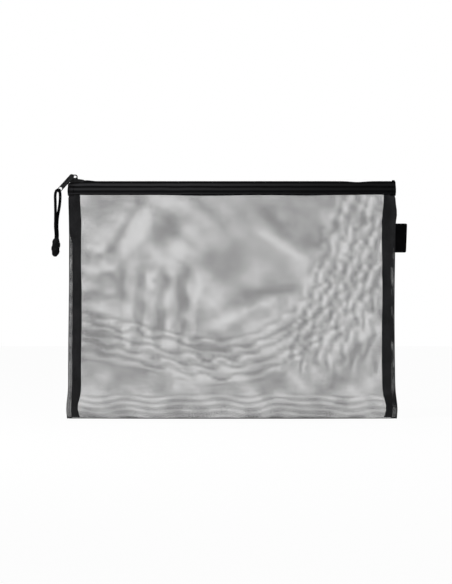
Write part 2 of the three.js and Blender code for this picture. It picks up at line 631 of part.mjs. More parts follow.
// The place in the pull tab's slot where the cord passes through, at the slot's lower end.
const LEAN = THREE.MathUtils.degToRad(PULL_LEAN_DEG);
const CORD_REACH = PULL_LENGTH + SLOT_LENGTH / 2 - SLOT_HALF_WIDTH;
const EYE_X = PIVOT_X + CORD_REACH * Math.cos(LEAN);
const EYE_Z = PIVOT_Z + CORD_REACH * Math.sin(LEAN);
const GRIP_TOP_X = EYE_X - GRIP_BESIDE_EYE;
const GRIP_TOP_Z = EYE_Z - GRIP_BELOW_EYE;

// Cord: up one strand, through the slot from front to back, and down again behind the pull tab.
// Its two strands lie together above the grip, one of them partly in front of the other.
function cordRoute() {
  const left = GRIP_TOP_X - STRANDS_APART_X / 2;
  const right = GRIP_TOP_X + STRANDS_APART_X / 2;
  const near = GRIP_Y - STRANDS_APART_Y / 2;
  const far = GRIP_Y + STRANDS_APART_Y / 2;
  const bottom = GRIP_TOP_Z + GAP;
  return [
    [left, near, bottom],
    [left, near, bottom + 3],
    [left - 0.5, near, bottom + 10],
    [left - 0.4, near, bottom + 18],
    [left - 0.35, STRAND_FRONT_Y + 0.3, bottom + 26],
    [left - 0.45, STRAND_FRONT_Y, bottom + 34],
    [left - 0.55, STRAND_FRONT_Y - 0.2, bottom + 42],
    [EYE_X - 3.4, STRAND_FRONT_Y - 0.4, EYE_Z - 2.4],
    [EYE_X - 2.5, STRAND_FRONT_Y - 0.6, EYE_Z - 0.5],
    [EYE_X - 1.4, STRAND_FRONT_Y - 0.5, EYE_Z],
    [EYE_X - 0.35, STRAND_FRONT_Y + 0.2, EYE_Z],
    [EYE_X, PULL_FRONT_Y - 0.1, EYE_Z],
    [EYE_X, PULL_BACK_Y + 0.1, EYE_Z],
    [EYE_X + 0.2, STRAND_BACK_Y - 0.4, EYE_Z - 0.5],
    [EYE_X + 0.5, STRAND_BACK_Y + 0.1, EYE_Z - 1.8],
    [EYE_X + 0.75, STRAND_BACK_Y, EYE_Z - 5.3],
    [EYE_X + 0.7, STRAND_BACK_Y - 0.1, EYE_Z - 9.3],
    [EYE_X + 0.3, STRAND_BACK_Y - 0.3, EYE_Z - 14.3],
    [EYE_X - 0.4, STRAND_BACK_Y - 0.6, EYE_Z - 19.3],
    [EYE_X - 1.3, STRAND_BACK_Y - 1, EYE_Z - 24.3],
    [EYE_X - 1.9, far + 0.2, EYE_Z - 29.3],
    [right - 0.4, far, bottom + 10],
    [right, far, bottom + 3],
    [right, far, bottom],
  ].map(([x, y, z]) => new THREE.Vector3(x, y, z));
}

function pullCord() {
  const section = new THREE.Shape();
  for (let n = 0; n < CORD_SIDES; n += 1) {
    const angle = ((n + 0.5) / CORD_SIDES) * Math.PI * 2;
    const x = (CORD_DIAMETER / 2) * Math.cos(angle);
    const y = (CORD_DIAMETER / 2) * Math.sin(angle);
    if (n === 0) section.moveTo(x, y);
    else section.lineTo(x, y);
  }
  const route = new THREE.CatmullRomCurve3(cordRoute(), false, 'centripetal');
  return new THREE.ExtrudeGeometry(section, { steps: CORD_STEPS, extrudePath: route, bevelEnabled: false });
}

// Grip: a flattened drop moulded over the two strands' ends, leaning a little.
// Grip: a flattened pod, blunt at the top where the cord goes in, and fuller than a pointed one below.
function cordGrip() {
  const profile = [new THREE.Vector2(0, 0), new THREE.Vector2(GRIP_MOUTH_RADIUS, 0)];
  const steps = 12;
  for (let n = 1; n < steps; n += 1) {
    const t = n / steps;
    const fromMiddle = Math.abs(t - 0.5) * 2;
    const swell = t < 0.5 ? (1 - fromMiddle ** 3.2) ** 0.4 : (1 - fromMiddle ** 2.2) ** 0.9;
    profile.push(new THREE.Vector2(GRIP_HALF_WIDTH * swell, -GRIP_LENGTH * t));
  }
  profile.push(new THREE.Vector2(0, -GRIP_LENGTH));
  profile.reverse();
  const turn = new THREE.Matrix4().makeRotationX(Math.PI / 2);
  const geometry = new THREE.LatheGeometry(profile, GRIP_SIDES).applyMatrix4(turn).scale(1, GRIP_FLATNESS, 1);
  return geometry.rotateY(THREE.MathUtils.degToRad(GRIP_LEAN_DEG)).translate(GRIP_TOP_X, GRIP_Y, GRIP_TOP_Z);
}

const mesh = new THREE.Group();
mesh.add(piece('front_panel', meshPanel(-1), meshCloth));
mesh.add(piece('back_panel', meshPanel(1), meshCloth));
mesh.add(piece('bottom_fold', bottomFold(), meshCloth));
mesh.add(piece('left_seam_binding', seamBinding(-1), tapeCloth));
mesh.add(piece('right_seam_binding', seamBinding(1), tapeCloth));
mesh.add(piece('side_tab', sideTab(), tapeCloth));

const zipper = new THREE.Group();
zipper.add(piece('front_zipper_tape', zipperTape(-1), tapeCloth));
zipper.add(piece('back_zipper_tape', zipperTape(1), tapeCloth));
zipper.add(piece('front_teeth', teethRow(-1), coilNylon));
zipper.add(piece('back_teeth', teethRow(1), coilNylon));
zipper.add(piece('left_zipper_end', zipperEnd(-1), tapeCloth));
zipper.add(piece('right_zipper_end', zipperEnd(1), tapeCloth));

const puller = new THREE.Group();
puller.add(piece('slider', slider(), blackMetal));
puller.add(piece('pull_tab', pullTab(), blackMetal));
puller.add(piece('pull_cord', pullCord(), cordYarn));
puller.add(piece('cord_grip', cordGrip(), gripRubber));

const bag = new THREE.Group();
bag.add(mesh, zipper, puller);

export default bag;
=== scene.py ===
import math

import bmesh
import bpy
import numpy as np
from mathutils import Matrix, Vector


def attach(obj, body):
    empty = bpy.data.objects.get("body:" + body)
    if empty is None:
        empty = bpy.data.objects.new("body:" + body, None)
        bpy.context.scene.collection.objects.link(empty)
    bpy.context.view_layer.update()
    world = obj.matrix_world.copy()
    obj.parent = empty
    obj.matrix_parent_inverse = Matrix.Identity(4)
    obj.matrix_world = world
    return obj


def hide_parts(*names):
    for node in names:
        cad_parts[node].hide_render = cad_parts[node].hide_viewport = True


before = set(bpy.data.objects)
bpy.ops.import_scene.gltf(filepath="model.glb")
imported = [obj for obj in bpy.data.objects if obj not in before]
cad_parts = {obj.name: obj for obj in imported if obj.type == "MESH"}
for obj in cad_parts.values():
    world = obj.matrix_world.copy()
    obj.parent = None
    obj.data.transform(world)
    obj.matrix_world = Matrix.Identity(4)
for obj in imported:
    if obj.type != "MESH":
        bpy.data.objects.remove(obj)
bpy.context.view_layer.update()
MM = 0.001

# Sizes that the solids have too, in metres
HALF_WIDTH = 0.165
BASE_HALF_DEPTH = 0.0075
BASE_CORNER = 0.0012
SEAM_NOSE = 0.0025
SEAM_HALF_DEPTH = 0.0019
NECK_HALF_DEPTH = 0.0032
BINDING_INNER = 0.1525
BINDING_INNER_EDGE = 0.1517
BINDING_OUTER = 0.1622
SHOULDER_TOP = 0.2246
MESH_TOP = 0.2341
TAPE_HALF_LENGTH = 0.1617
TAPE_TOP = 0.2377
TAPE_BOTTOM = 0.2266
TAPE_OUTER = 0.0044

# Yarns of the mesh cloth, and how far it is turned in at the side seams
YARN_PITCH = 0.000735
YARN_WIDTH = 0.000172
YARN_FLATNESS = 0.8
SEAM_TURN = 0.0033
RETURN_LENGTH = 0.006
RETURN_DEPTH = 0.00035


def smooth(low, high, value):
    """0 below low, 1 above high, with a soft step between."""
    t = np.clip((value - low) / (high - low), 0, 1)
    return t * t * (3 - 2 * t)


# Camera: it looks square on at the bag, from far away
PHOTO_WIDTH, PHOTO_HEIGHT = 452, 584
MM_PER_PIXEL = 1.009
BAG_CENTRE_PIXEL = 231.75
BAG_FOOT_PIXEL = 418.55
CAMERA_DISTANCE = 3.0
SENSOR_WIDTH = 36
CAMERA_X = (PHOTO_WIDTH / 2 - BAG_CENTRE_PIXEL) * MM_PER_PIXEL * MM
CAMERA_HEIGHT = (BAG_FOOT_PIXEL - PHOTO_HEIGHT / 2) * MM_PER_PIXEL * MM


def camera():
    data = bpy.data.cameras.new("camera")
    data.sensor_fit = "HORIZONTAL"
    data.sensor_width = SENSOR_WIDTH
    data.lens = SENSOR_WIDTH * CAMERA_DISTANCE / (PHOTO_WIDTH * MM_PER_PIXEL * MM)
    data.clip_end = 6 * CAMERA_DISTANCE
    eye = bpy.data.objects.new("camera", data)
    eye.location = (CAMERA_X, -CAMERA_DISTANCE, CAMERA_HEIGHT)
    eye.rotation_euler = (math.pi / 2, 0, 0)
    bpy.context.collection.objects.link(eye)
    bpy.context.scene.camera = eye


camera()


# Meshes
def add_object(name, data, material, shade_smooth=True):
    if shade_smooth:
        data.polygons.foreach_set("use_smooth", [True] * len(data.polygons))
    data.materials.append(material)
    piece = bpy.data.objects.new(name, data)
    bpy.context.collection.objects.link(piece)
    return piece


def mesh_object(name, points, faces, material, shade_smooth=True):
    data = bpy.data.meshes.new(name)
    data.from_pydata([tuple(p) for p in points], [], [tuple(f) for f in faces])
    data.update()
    return add_object(name, data, material, shade_smooth)


def quads_object(name, points, quads, material):
    """A mesh of four-sided faces from arrays, quick for many faces."""
    data = bpy.data.meshes.new(name)
    count = len(quads)
    data.vertices.add(len(points))
    data.vertices.foreach_set("co", np.ascontiguousarray(points, dtype=np.float32).ravel())
    data.loops.add(count * 4)
    data.loops.foreach_set("vertex_index", np.ascontiguousarray(quads, dtype=np.int32).ravel())
    data.polygons.add(count)
    data.polygons.foreach_set("loop_start", np.arange(count, dtype=np.int32) * 4)
    data.update(calc_edges=True)
    data.validate()
    return add_object(name, data, material)


def ring_faces(index):
    """The walls and both ends of a tube, whose rings are the rows of index."""
    here, ahead = index[:-1], index[1:]
    walls = np.stack([here, ahead, np.roll(ahead, -1, axis=1), np.roll(here, -1, axis=1)], axis=-1).reshape(-1, 4)
    return [list(f) for f in walls] + [list(index[0][::-1]), list(index[-1])]


def mend_normals(piece):
    """Turn every face outwards."""
    work = bmesh.new()
    work.from_mesh(piece.data)
    bmesh.ops.recalc_face_normals(work, faces=work.faces)
    work.to_mesh(piece.data)
    work.free()


def unit(vectors):
    return vectors / np.maximum(np.linalg.norm(vectors, axis=-1, keepdims=True), 1e-12)


def tube_arrays(paths, hint, width, height, sides, kept=None):
    """Closed tubes along many paths of equal length. hint is the way that their width lies, never along a path.
    A ring that isn't kept is left out, and the tube is closed on both sides of it."""
    count, steps, _ = paths.shape
    tangent = unit(np.gradient(paths, axis=1))
    hint = np.asarray(hint, dtype=float)
    side = unit(hint - tangent * (tangent @ hint)[..., None])
    up = np.cross(side, tangent)
    angle = (np.arange(sides) + 0.5) / sides * 2 * math.pi
    # The tube is as wide as asked between its flat sides, and not between its corners.
    flat = math.cos(math.pi / sides)
    width, height = (np.broadcast_to(size, (count, steps))[..., None, None] / flat for size in (width, height))
    ring = (
        side[:, :, None, :] * np.cos(angle)[None, None, :, None] * width / 2
        + up[:, :, None, :] * np.sin(angle)[None, None, :, None] * height / 2
    )
    points = (paths[:, :, None, :] + ring).reshape(-1, 3)
    index = np.arange(count * steps * sides).reshape(count, steps, sides)
    if kept is None:
        kept = np.ones((count, steps), dtype=bool)
    joined = kept[:, :-1] & kept[:, 1:]
    here, ahead = index[:, :-1][joined], index[:, 1:][joined]
    walls = np.stack([here, ahead, np.roll(ahead, -1, axis=1), np.roll(here, -1, axis=1)], axis=-1).reshape(-1, 4)
    before = np.zeros_like(kept)
    before[:, 1:] = joined
    after = np.zeros_like(kept)
    after[:, :-1] = joined
    starts = index[kept & after & ~before]
    ends = index[kept & before & ~after]
    caps = []
    for rings, turned in ((starts, False), (ends, True)):
        for a in range(1, sides - 1, 2):
            last = min(a + 2, sides - 1)
            cap = np.stack([rings[:, 0], rings[:, a], rings[:, a + 1], rings[:, last]], axis=-1)
            caps.append(cap[:, ::-1] if turned else cap)
    quads = np.concatenate([walls] + caps)
    used = np.zeros(len(points), dtype=bool)
    used[quads.ravel()] = True
    renumber = np.cumsum(used) - 1
    return points[used], renumber[quads]


# Materials
def material(name, color, roughness, build=None, **sockets):
    made = bpy.data.materials.new(name)
    made.use_nodes = True
    nodes, links = made.node_tree.nodes, made.node_tree.links
    shader = nodes["Principled BSDF"]
    shader.inputs["Base Color"].default_value = (*color, 1)
    shader.inputs["Roughness"].default_value = roughness
    for socket, value in sockets.items():
        shader.inputs[socket.replace("_", " ")].default_value = value
    if build:
        place = nodes.new("ShaderNodeTexCoord").outputs["Object"]
        build(nodes, links, shader, place)
    return made


def noise(nodes, links, place, scale, detail=3.0, stretch=(1, 1, 1)):
    """Noise of so many cells per metre, stretched by axis."""
    mapping = nodes.new("ShaderNodeMapping")
    mapping.inputs["Scale"].default_value = stretch
    texture = nodes.new("ShaderNodeTexNoise")
    texture.inputs["Scale"].default_value = scale
    texture.inputs["Detail"].default_value = detail
    links.new(place, mapping.inputs["Vector"])
    links.new(mapping.outputs["Vector"], texture.inputs["Vector"])
    return texture.outputs["Fac"]


def tint(nodes, links, shader, fac, dark, light):
    """Colours between two, by fac."""
    blend = nodes.new("ShaderNodeValToRGB")
    for point, position, color in zip(blend.color_ramp.elements, (0.35, 0.65), (dark, light)):
        point.position = position
        point.color = (*color, 1)
    links.new(fac, blend.inputs["Fac"])
    links.new(blend.outputs["Color"], shader.inputs["Base Color"])


def rough(nodes, links, shader, fac, low, high):
    spread = nodes.new("ShaderNodeMapRange")
    spread.inputs["To Min"].default_value = low
    spread.inputs["To Max"].default_value = high
    links.new(fac, spread.inputs["Value"])
    links.new(spread.outputs["Result"], shader.inputs["Roughness"])


def bump(nodes, links, shader, height, depth):
    lift = nodes.new("ShaderNodeBump")
    lift.inputs["Strength"].default_value = 1
    lift.inputs["Distance"].default_value = depth
    links.new(height, lift.inputs["Height"])
    links.new(lift.outputs["Normal"], shader.inputs["Normal"])


def math_node(nodes, links, operation, a, b=None):
    node = nodes.new("ShaderNodeMath")
    node.operation = operation
    for socket, value in zip(node.inputs, (a, b)):
        if value is None:
            continue
        if isinstance(value, (int, float)):
            socket.default_value = value
        else:
            links.new(value, socket)
    return node.outputs[0]


def ribs(nodes, links, place, axis, pitch, lean=0.0, other=None):
    """A wave from 0 to 1 across an axis, leaning along another one."""
    split = nodes.new("ShaderNodeSeparateXYZ")
    links.new(place, split.inputs["Vector"])
    value = split.outputs[axis]
    if other:
        value = math_node(nodes, links, "ADD", value, math_node(nodes, links, "MULTIPLY", split.outputs[other], lean))
    wave = math_node(nodes, links, "SINE", math_node(nodes, links, "MULTIPLY", value, 2 * math.pi / pitch))
    return math_node(nodes, links, "MULTIPLY_ADD", wave, 0.5)


def weave_relief(nodes, links, shader, place, weft, warp, depth):
    """Bumps and roughness of woven tape, from the waves of its two ways of ribs."""
    height = math_node(nodes, links, "MULTIPLY", weft, warp)
    fluff = noise(nodes, links, place, 900, 4)
    height = math_node(nodes, links, "ADD", height, math_node(nodes, links, "MULTIPLY", fluff, 0.5))
    bump(nodes, links, shader, height, depth)
    rough(nodes, links, shader, fluff, 0.75, 0.95)


def woven(dark, light, across_pitch, along_pitch, depth=0.00012):
    """Woven tape: ribs in both directions, with worn and dusty patches."""

    def build(nodes, links, shader, place):
        weft = ribs(nodes, links, place, "Z", along_pitch)
        warp = ribs(nodes, links, place, "X", across_pitch)
        weave_relief(nodes, links, shader, place, weft, warp, depth)
        tint(nodes, links, shader, noise(nodes, links, place, 60, 4), dark, light)

    return build


def fade(nodes, links, shader, place, axis, start, end, least):
    """The base colour, scaled from 1 at start to least at end along an axis: a painted falloff of light and shade."""
    split = nodes.new("ShaderNodeSeparateXYZ")
    links.new(place, split.inputs["Vector"])
    scale = nodes.new("ShaderNodeMapRange")
    scale.inputs["From Min"].default_value = start
    scale.inputs["From Max"].default_value = end
    scale.inputs["To Min"].default_value = 1
    scale.inputs["To Max"].default_value = least
    links.new(split.outputs[axis], scale.inputs["Value"])
    product = nodes.new("ShaderNodeVectorMath")
    product.operation = "SCALE"
    links.new(shader.inputs["Base Color"].links[0].from_socket, product.inputs[0])
    links.new(scale.outputs["Result"], product.inputs["Scale"])
    links.new(product.outputs["Vector"], shader.inputs["Base Color"])


def bound_seam(nodes, links, shader, place):
    """Binding tape, with painted shade that darkens it towards the zipper."""
    weave = woven((0.013, 0.013, 0.014), (0.032, 0.032, 0.034), 0.0008, 0.0006, depth=0.0001)
    weave(nodes, links, shader, place)
    # Painted shade under the zipper: the colour darkens towards the top.
    fade(nodes, links, shader, place, "Z", 0.17, 0.222, 0.2)


def tape_with_painted_shade(nodes, links, shader, place):
    """Zipper tape: fine twill, with painted shade in the sewn grooves, painted light on the puffed bands between
    them, and a painted falloff of light that darkens it to the right.
    """
    weft = ribs(nodes, links, place, "Z", 0.0007, 0.6, "X")
    warp = ribs(nodes, links, place, "X", 0.0009)
    weave_relief(nodes, links, shader, place, weft, warp, 0.00012)
    split = nodes.new("ShaderNodeSeparateXYZ")
    links.new(place, split.inputs["Vector"])
    up = nodes.new("ShaderNodeMapRange")
    up.inputs["From Min"].default_value = TAPE_BOTTOM - 0.0004
    up.inputs["From Max"].default_value = TAPE_TOP + 0.0005
    links.new(split.outputs["Z"], up.inputs["Value"])
    patches = noise(nodes, links, place, 55, 4, (1, 1, 3))
    shift = math_node(nodes, links, "MULTIPLY", math_node(nodes, links, "SUBTRACT", patches, 0.5), 0.1)
    # Painted shade and light across the tape's height, following its grooves and puffs
    painted_groove_shade = nodes.new("ShaderNodeValToRGB")
    links.new(math_node(nodes, links, "ADD", up.outputs["Result"], shift), painted_groove_shade.inputs["Fac"])
    # (place from the tape's lower edge to its top, level of grey): painted shade is dark at the sewn grooves, and
    # painted light is paler on the puffs between them
    levels = [(0.0, 0.004), (0.07, 0.022), (0.13, 0.005), (0.22, 0.004), (0.31, 0.009), (0.4, 0.024)]
    levels += [(0.5, 0.021), (0.57, 0.003), (0.66, 0.004), (0.74, 0.03), (0.85, 0.026), (0.95, 0.003)]
    ramp_points = painted_groove_shade.color_ramp.elements
    while len(ramp_points) < len(levels):
        ramp_points.new(0.5)
    for point, (where, level) in zip(ramp_points, levels):
        point.position = where
        point.color = (level, level, level * 1.06, 1)
    links.new(painted_groove_shade.outputs["Color"], shader.inputs["Base Color"])
    # Painted falloff of light: darker to the right, away from the left lamp.
    fade(nodes, links, shader, place, "X", -0.05, 0.13, 0.3)


def yarn_finish(nodes, links, shader, place):
    worn = noise(nodes, links, place, 45, 3)
    tint(nodes, links, shader, worn, (0.012, 0.012, 0.013), (0.024, 0.024, 0.026))
    rough(nodes, links, shader, noise(nodes, links, place, 700, 2), 0.38, 0.6)
    bump(nodes, links, shader, noise(nodes, links, place, 4000, 2), 0.00002)


def cast_metal(nodes, links, shader, place):
    cloud = noise(nodes, links, place, 350, 4)
    tint(nodes, links, shader, cloud, (0.006, 0.006, 0.0065), (0.014, 0.014, 0.015))
    rough(nodes, links, shader, noise(nodes, links, place, 1200, 3), 0.26, 0.42)
    bump(nodes, links, shader, noise(nodes, links, place, 2600, 3), 0.00003)


def moulded(nodes, links, shader, place):
    cloud = noise(nodes, links, place, 240, 3)
    tint(nodes, links, shader, cloud, (0.001, 0.001, 0.0012), (0.004, 0.004, 0.0045))
    rough(nodes, links, shader, cloud, 0.42, 0.6)
    bump(nodes, links, shader, noise(nodes, links, place, 3500, 2), 0.00003)


def twisted(pitch, dark, light):
    """Fine strands that lean across a round thread or cord."""

    def build(nodes, links, shader, place):
        one = ribs(nodes, links, place, "Z", pitch, 0.9, "X")
        two = ribs(nodes, links, place, "X", pitch, 0.9, "Z")
        height = math_node(nodes, links, "ADD", one, two)
        bump(nodes, links, shader, height, 0.00008)
        tint(nodes, links, shader, noise(nodes, links, place, 500, 3), dark, light)
        rough(nodes, links, shader, height, 0.7, 0.92)

    return build


def nylon(nodes, links, shader, place):
    cloud = noise(nodes, links, place, 300, 3)
    tint(nodes, links, shader, cloud, (0.003, 0.003, 0.0035), (0.006, 0.006, 0.0065))
    rough(nodes, links, shader, cloud, 0.3, 0.45)
    bump(nodes, links, shader, noise(nodes, links, place, 2500, 2), 0.00002)


BLACK = (0.01, 0.01, 0.011)
RIBBON_TINTS = ((0.0008, 0.0008, 0.001), (0.0022, 0.0022, 0.0025))
THREAD_TINTS = ((0.004, 0.004, 0.0045), (0.011, 0.011, 0.012))
CORD_TINTS = ((0.0008, 0.0008, 0.001), (0.004, 0.004, 0.0045))
yarn = material("mesh_yarn", BLACK, 0.55, yarn_finish, Specular_IOR_Level=0.15)
binding_cloth = material("binding_cloth", BLACK, 0.85, bound_seam, Specular_IOR_Level=0.05)
tape_cloth = material("zipper_cloth", BLACK, 0.85, tape_with_painted_shade, Specular_IOR_Level=0.04)
ribbon_weave = woven(*RIBBON_TINTS, across_pitch=0.0005, along_pitch=0.0009)
ribbon_cloth = material("ribbon_cloth", BLACK, 0.85, ribbon_weave, Specular_IOR_Level=0.02)
thread_cloth = material("sewing_thread", BLACK, 0.7, twisted(0.0003, *THREAD_TINTS), Specular_IOR_Level=0.1)
cord_cloth = material("cord_braid", BLACK, 0.85, twisted(0.0009, *CORD_TINTS), Specular_IOR_Level=0.02)
teeth_nylon = material("teeth_nylon", BLACK, 0.5, nylon, Specular_IOR_Level=0.12)
slider_metal = material("slider_metal", BLACK, 0.35, cast_metal, Specular_IOR_Level=0.08)
grip_rubber = material("grip_rubber", BLACK, 0.5, moulded, Specular_IOR_Level=0.05)


# Mesh cloth: the map from a place on the flat cloth to a place on the bag
INTO_ZIPPER_END = 0.0013
SHOULDER_START = TAPE_BOTTOM - 0.026
TAB_BOTTOM, TAB_TOP = 0.1675, 0.1968
TAB_HALF = 0.00085
TAB_CLEARANCE = 0.0005


def cloth_half_width(z):
    return HALF_WIDTH - INTO_ZIPPER_END * smooth(SHOULDER_TOP - 0.003, SHOULDER_TOP, z)


def cloth_half_depth(reach, z):
    """Distance of the cloth from the bag's middle plane, up to the seam's rounded edge."""
    shoulder = smooth(SHOULDER_START, SHOULDER_TOP, z)
    centre = BASE_HALF_DEPTH + (NECK_HALF_DEPTH - BASE_HALF_DEPTH) * smooth(0, SHOULDER_TOP, z)
    seam = SEAM_HALF_DEPTH + (NECK_HALF_DEPTH - SEAM_HALF_DEPTH) * shoulder
    return seam + (centre - seam) * (1 - np.minimum(reach / BINDING_INNER, 1) ** 3)


def seam_drift(z, right):
    """The side seams aren't quite straight: they bow near the foot, and the right one bulges above the tab."""
    bow = 0.0022 * np.exp(-(((z - 0.009) / 0.014) ** 2))
    wave = 0.0004 * np.sin(z / 0.031 + 1.3 * right)
    pinch = -0.0004 * np.exp(-(((z - 0.19) / 0.03) ** 2))
    bulge = 0.0016 * np.exp(-(((z - 0.207) / 0.009) ** 2))
    return bow + wave - 0.0004 + pinch * (1 - right) + bulge * right


def ripple(x, z, side):
    """Slack in the cloth: shallow waves, flat at the seams."""
    calm = smooth(0, 0.03, HALF_WIDTH - np.abs(x)) * smooth(0.004, 0.03, z) * smooth(0, 0.02, TAPE_BOTTOM - z)
    wave = np.sin(x / 0.019 + z / 0.043 + side) * 0.5 + np.sin(z / 0.027 - x / 0.052 + 2 * side) * 0.5
    return 0.0005 * wave * calm


def on_cloth(across, up, side):
    """across runs over the bag's width and round the seams, up from the fold's flat underside to the zipper.
    side is -1 for the front and 1 for the back. Returns the place and whether it is on this layer."""
    z_wall = np.maximum(up, BASE_CORNER)
    reach = np.abs(across)
    right = (across > 0).astype(float)
    width = cloth_half_width(z_wall)
    nose_start = width - SEAM_NOSE
    at_tab = right * smooth(TAB_BOTTOM - 0.024, TAB_BOTTOM - 0.012, z_wall)
    at_tab = at_tab * (1 - smooth(TAB_TOP + 0.012, TAB_TOP + 0.024, z_wall))
    edge = RETURN_DEPTH + (TAB_HALF + TAB_CLEARANCE - RETURN_DEPTH) * at_tab
    seam = cloth_half_depth(width, z_wall)
    edge = edge + (seam - edge) * smooth(SHOULDER_START, SHOULDER_TOP, z_wall)
    turn = np.clip((reach - nose_start) / SEAM_TURN, 0, 1) * math.pi / 2
    back = np.maximum(reach - nose_start - SEAM_TURN, 0)
    on_face = reach <= nose_start
    x = np.where(on_face, reach, nose_start + SEAM_NOSE * np.sin(turn) - back)
    depth = np.where(on_face, cloth_half_depth(reach, z_wall), edge + (seam - edge) * np.cos(turn))
    near_seam = smooth(0.09, HALF_WIDTH, reach)
    x = x + seam_drift(z_wall, right) * near_seam
    depth = depth + ripple(across, z_wall, side)
    # Below the corner the cloth turns under the bag and runs flat to the middle.
    radius = np.minimum(BASE_CORNER, np.maximum(depth - 0.0001, 0.0002))
    below = np.maximum(radius - up, 0)
    bend = np.minimum(below / radius, math.pi / 2)
    flat = np.maximum(below - radius * math.pi / 2, 0)
    y = depth - radius + radius * np.cos(bend) - flat
    z = np.where(up >= radius, up, radius * (1 - np.sin(bend))) + YARN_WIDTH
    on_layer = y > 0
    place = np.stack([np.sign(across) * x, side * y, z], axis=-1)
    return place, on_layer


def slack(x, z, waves, start=0.0):
    """Smooth unevenness over the cloth, from about -1 to 1, from waves of (x, z) lengths in millimetres."""
    total = sum(np.sin(x / a + z / b + 1.7 * n + start) for n, (a, b) in enumerate(waves))
    return total / math.sqrt(1.3 * len(waves))


BROAD_WAVES = ((19, 13), (-14, 11), (12, -17), (8, 23), (-27, 7), (10, 9))
SMALL_WAVES = ((5.1, 6.2), (-4.4, 5.9), (6.3, -4.7), (3.9, 10), (-9, 4.2), (4.7, 4.2), (-4.1, -4.8), (7.1, 3.3))


def streak(x, z, middle, end, breadth):
    """1 along a short straight band from its middle to one end and as far the other way, 0 away from it."""
    run = (end[0] - middle[0], end[1] - middle[1])
    length = math.hypot(*run)
    along = ((x - middle[0]) * run[0] + (z - middle[1]) * run[1]) / length
    beside = ((z - middle[1]) * run[0] - (x - middle[0]) * run[1]) / length
    return np.exp(-((along / length) ** 4) - ((beside / breadth) ** 2))


# Where the cloth is pulled so that its layers' yarns line up (amount above 0, lighter) or lie apart (below 0,
# darker): amount, middle, end and breadth of a streak, in millimetres
PULLS = (
    (2.0, (-96, 186), (-84, 208), 8),
    (-1.6, (-106, 196), (-90, 222), 4),
    (-1.2, (-128, 168), (-118, 176), 4),
    (-1.3, (-63, 202), (-57, 206), 6),
    (1.2, (-66, 218), (-60, 224), 5),
    (-1.6, (38, 128), (66, 131), 4),
    (-1.2, (46, 195), (62, 180), 5),
    (1.3, (48, 176), (74, 160), 4),
    (-1.2, (88, 177), (98, 182), 5),
    (1.5, (12, 107), (47, 122), 4),
    (1.4, (-33, 134), (-31, 156), 5),
    (-1.3, (-48, 122), (-52, 142), 4),
    (1.3, (-53, 170), (-46, 178), 7),
    (-0.8, (4, 157), (16, 150), 20),
    (-1.3, (102, 34), (118, 42), 8),
    (1.3, (134, 20), (118, 32), 5),
    (-1.2, (-24, 71), (4, 66), 5),
    (0.35, (-110, 190), (-60, 215), 35),
    (-0.9, (-140, 75), (-135, 105), 14),
    (-0.7, (75, 205), (110, 198), 24),
)


# Millimetres from one bar to the next in each part of the cloth
RIGHT_BARS, LEFT_BARS, CROSSING_BARS, ARCHED_BARS, FOOT_BARS, EDGE_BARS = 12.5, 21, 12, 9.5, 6.5, 20


def bars(distance, pitch):
    return np.sin(2 * math.pi * distance / pitch)


def lined_up(across, up):
    """How nearly the layers' yarns lie on each other, from 0 to 1: (those that run up, those that run across).
    Places and lengths in here are in millimetres."""
    x, z = across / MM, up / MM
    broad, small = slack(x, z, BROAD_WAVES), slack(x, z, SMALL_WAVES)
    other = slack(x, z, SMALL_WAVES, 2.4)

    # Upright bars: leaning ones at the right, wider ones at the left, and a calm patch in the upper middle
    lean = x - (z - 100) / 3
    right = smooth(56, 74, lean) * smooth(40, 56, z)
    left = smooth(-22, -40, x) * smooth(-122, -104, x) * smooth(60, 82, z) * smooth(166, 140, z)
    calm = 1 - 0.5 * smooth(-40, -10, x) * smooth(90, 60, x) * smooth(110, 130, z)
    sideways = (1.1 * small + 0.7 * broad) * calm * (1 - 0.6 * np.maximum(left, right))
    sideways = sideways + 1.45 * right * bars(lean + 3.2 * other, RIGHT_BARS)
    sideways = sideways + 1.6 * left * bars(x + 88 - 0.06 * (z - 110) + 2.2 * other, LEFT_BARS)

    # Arched lines below the middle, which fall to the right on the left side and climb steeply on the right
    arch = 78 + 0.0050 * np.maximum(x + 15, 0) ** 2 - 0.22 * np.minimum(x + 25, 0)
    steep = np.sqrt(1 + (0.010 * np.maximum(x + 15, 0)) ** 2)
    below = (arch - z) / steep
    lower = smooth(-8, 0, below) * smooth(50, 40, below) * smooth(24, 34, z)
    upwards = (1.1 * other + 0.7 * broad) * calm * (1 - 0.5 * lower)
    upwards = upwards + 1.5 * lower * bars(below + 2.4 * small, ARCHED_BARS)

    # Slanting lines that cross the right bars, level ones at the foot, and short ones by the left seam
    crossing = right * smooth(115, 135, z) * (1 - lower)
    upwards = upwards + 0.9 * crossing * bars(0.8 * x + 0.6 * z + 2.6 * small, CROSSING_BARS)
    foot = smooth(28, 20, z)
    wavy = slack(x, z, ((13, 60), (-22, 40), (31, 50), (8, 30)))
    upwards = upwards * (1 - 0.7 * foot) + 1.2 * foot * bars(z + 3.2 * wavy, FOOT_BARS) - 0.8 * smooth(18, 8, z)
    edge = smooth(-112, -124, x) * smooth(92, 100, z) * smooth(182, 172, z)
    upwards = upwards + 1.3 * edge * bars(z - 128 + 3 * small, EDGE_BARS)
    pulled = sum(amount * streak(x, z, middle, end, breadth) for amount, middle, end, breadth in PULLS)
    return tuple(0.5 + 0.5 * np.tanh(1.1 * (way + pulled)) for way in (sideways, upwards))


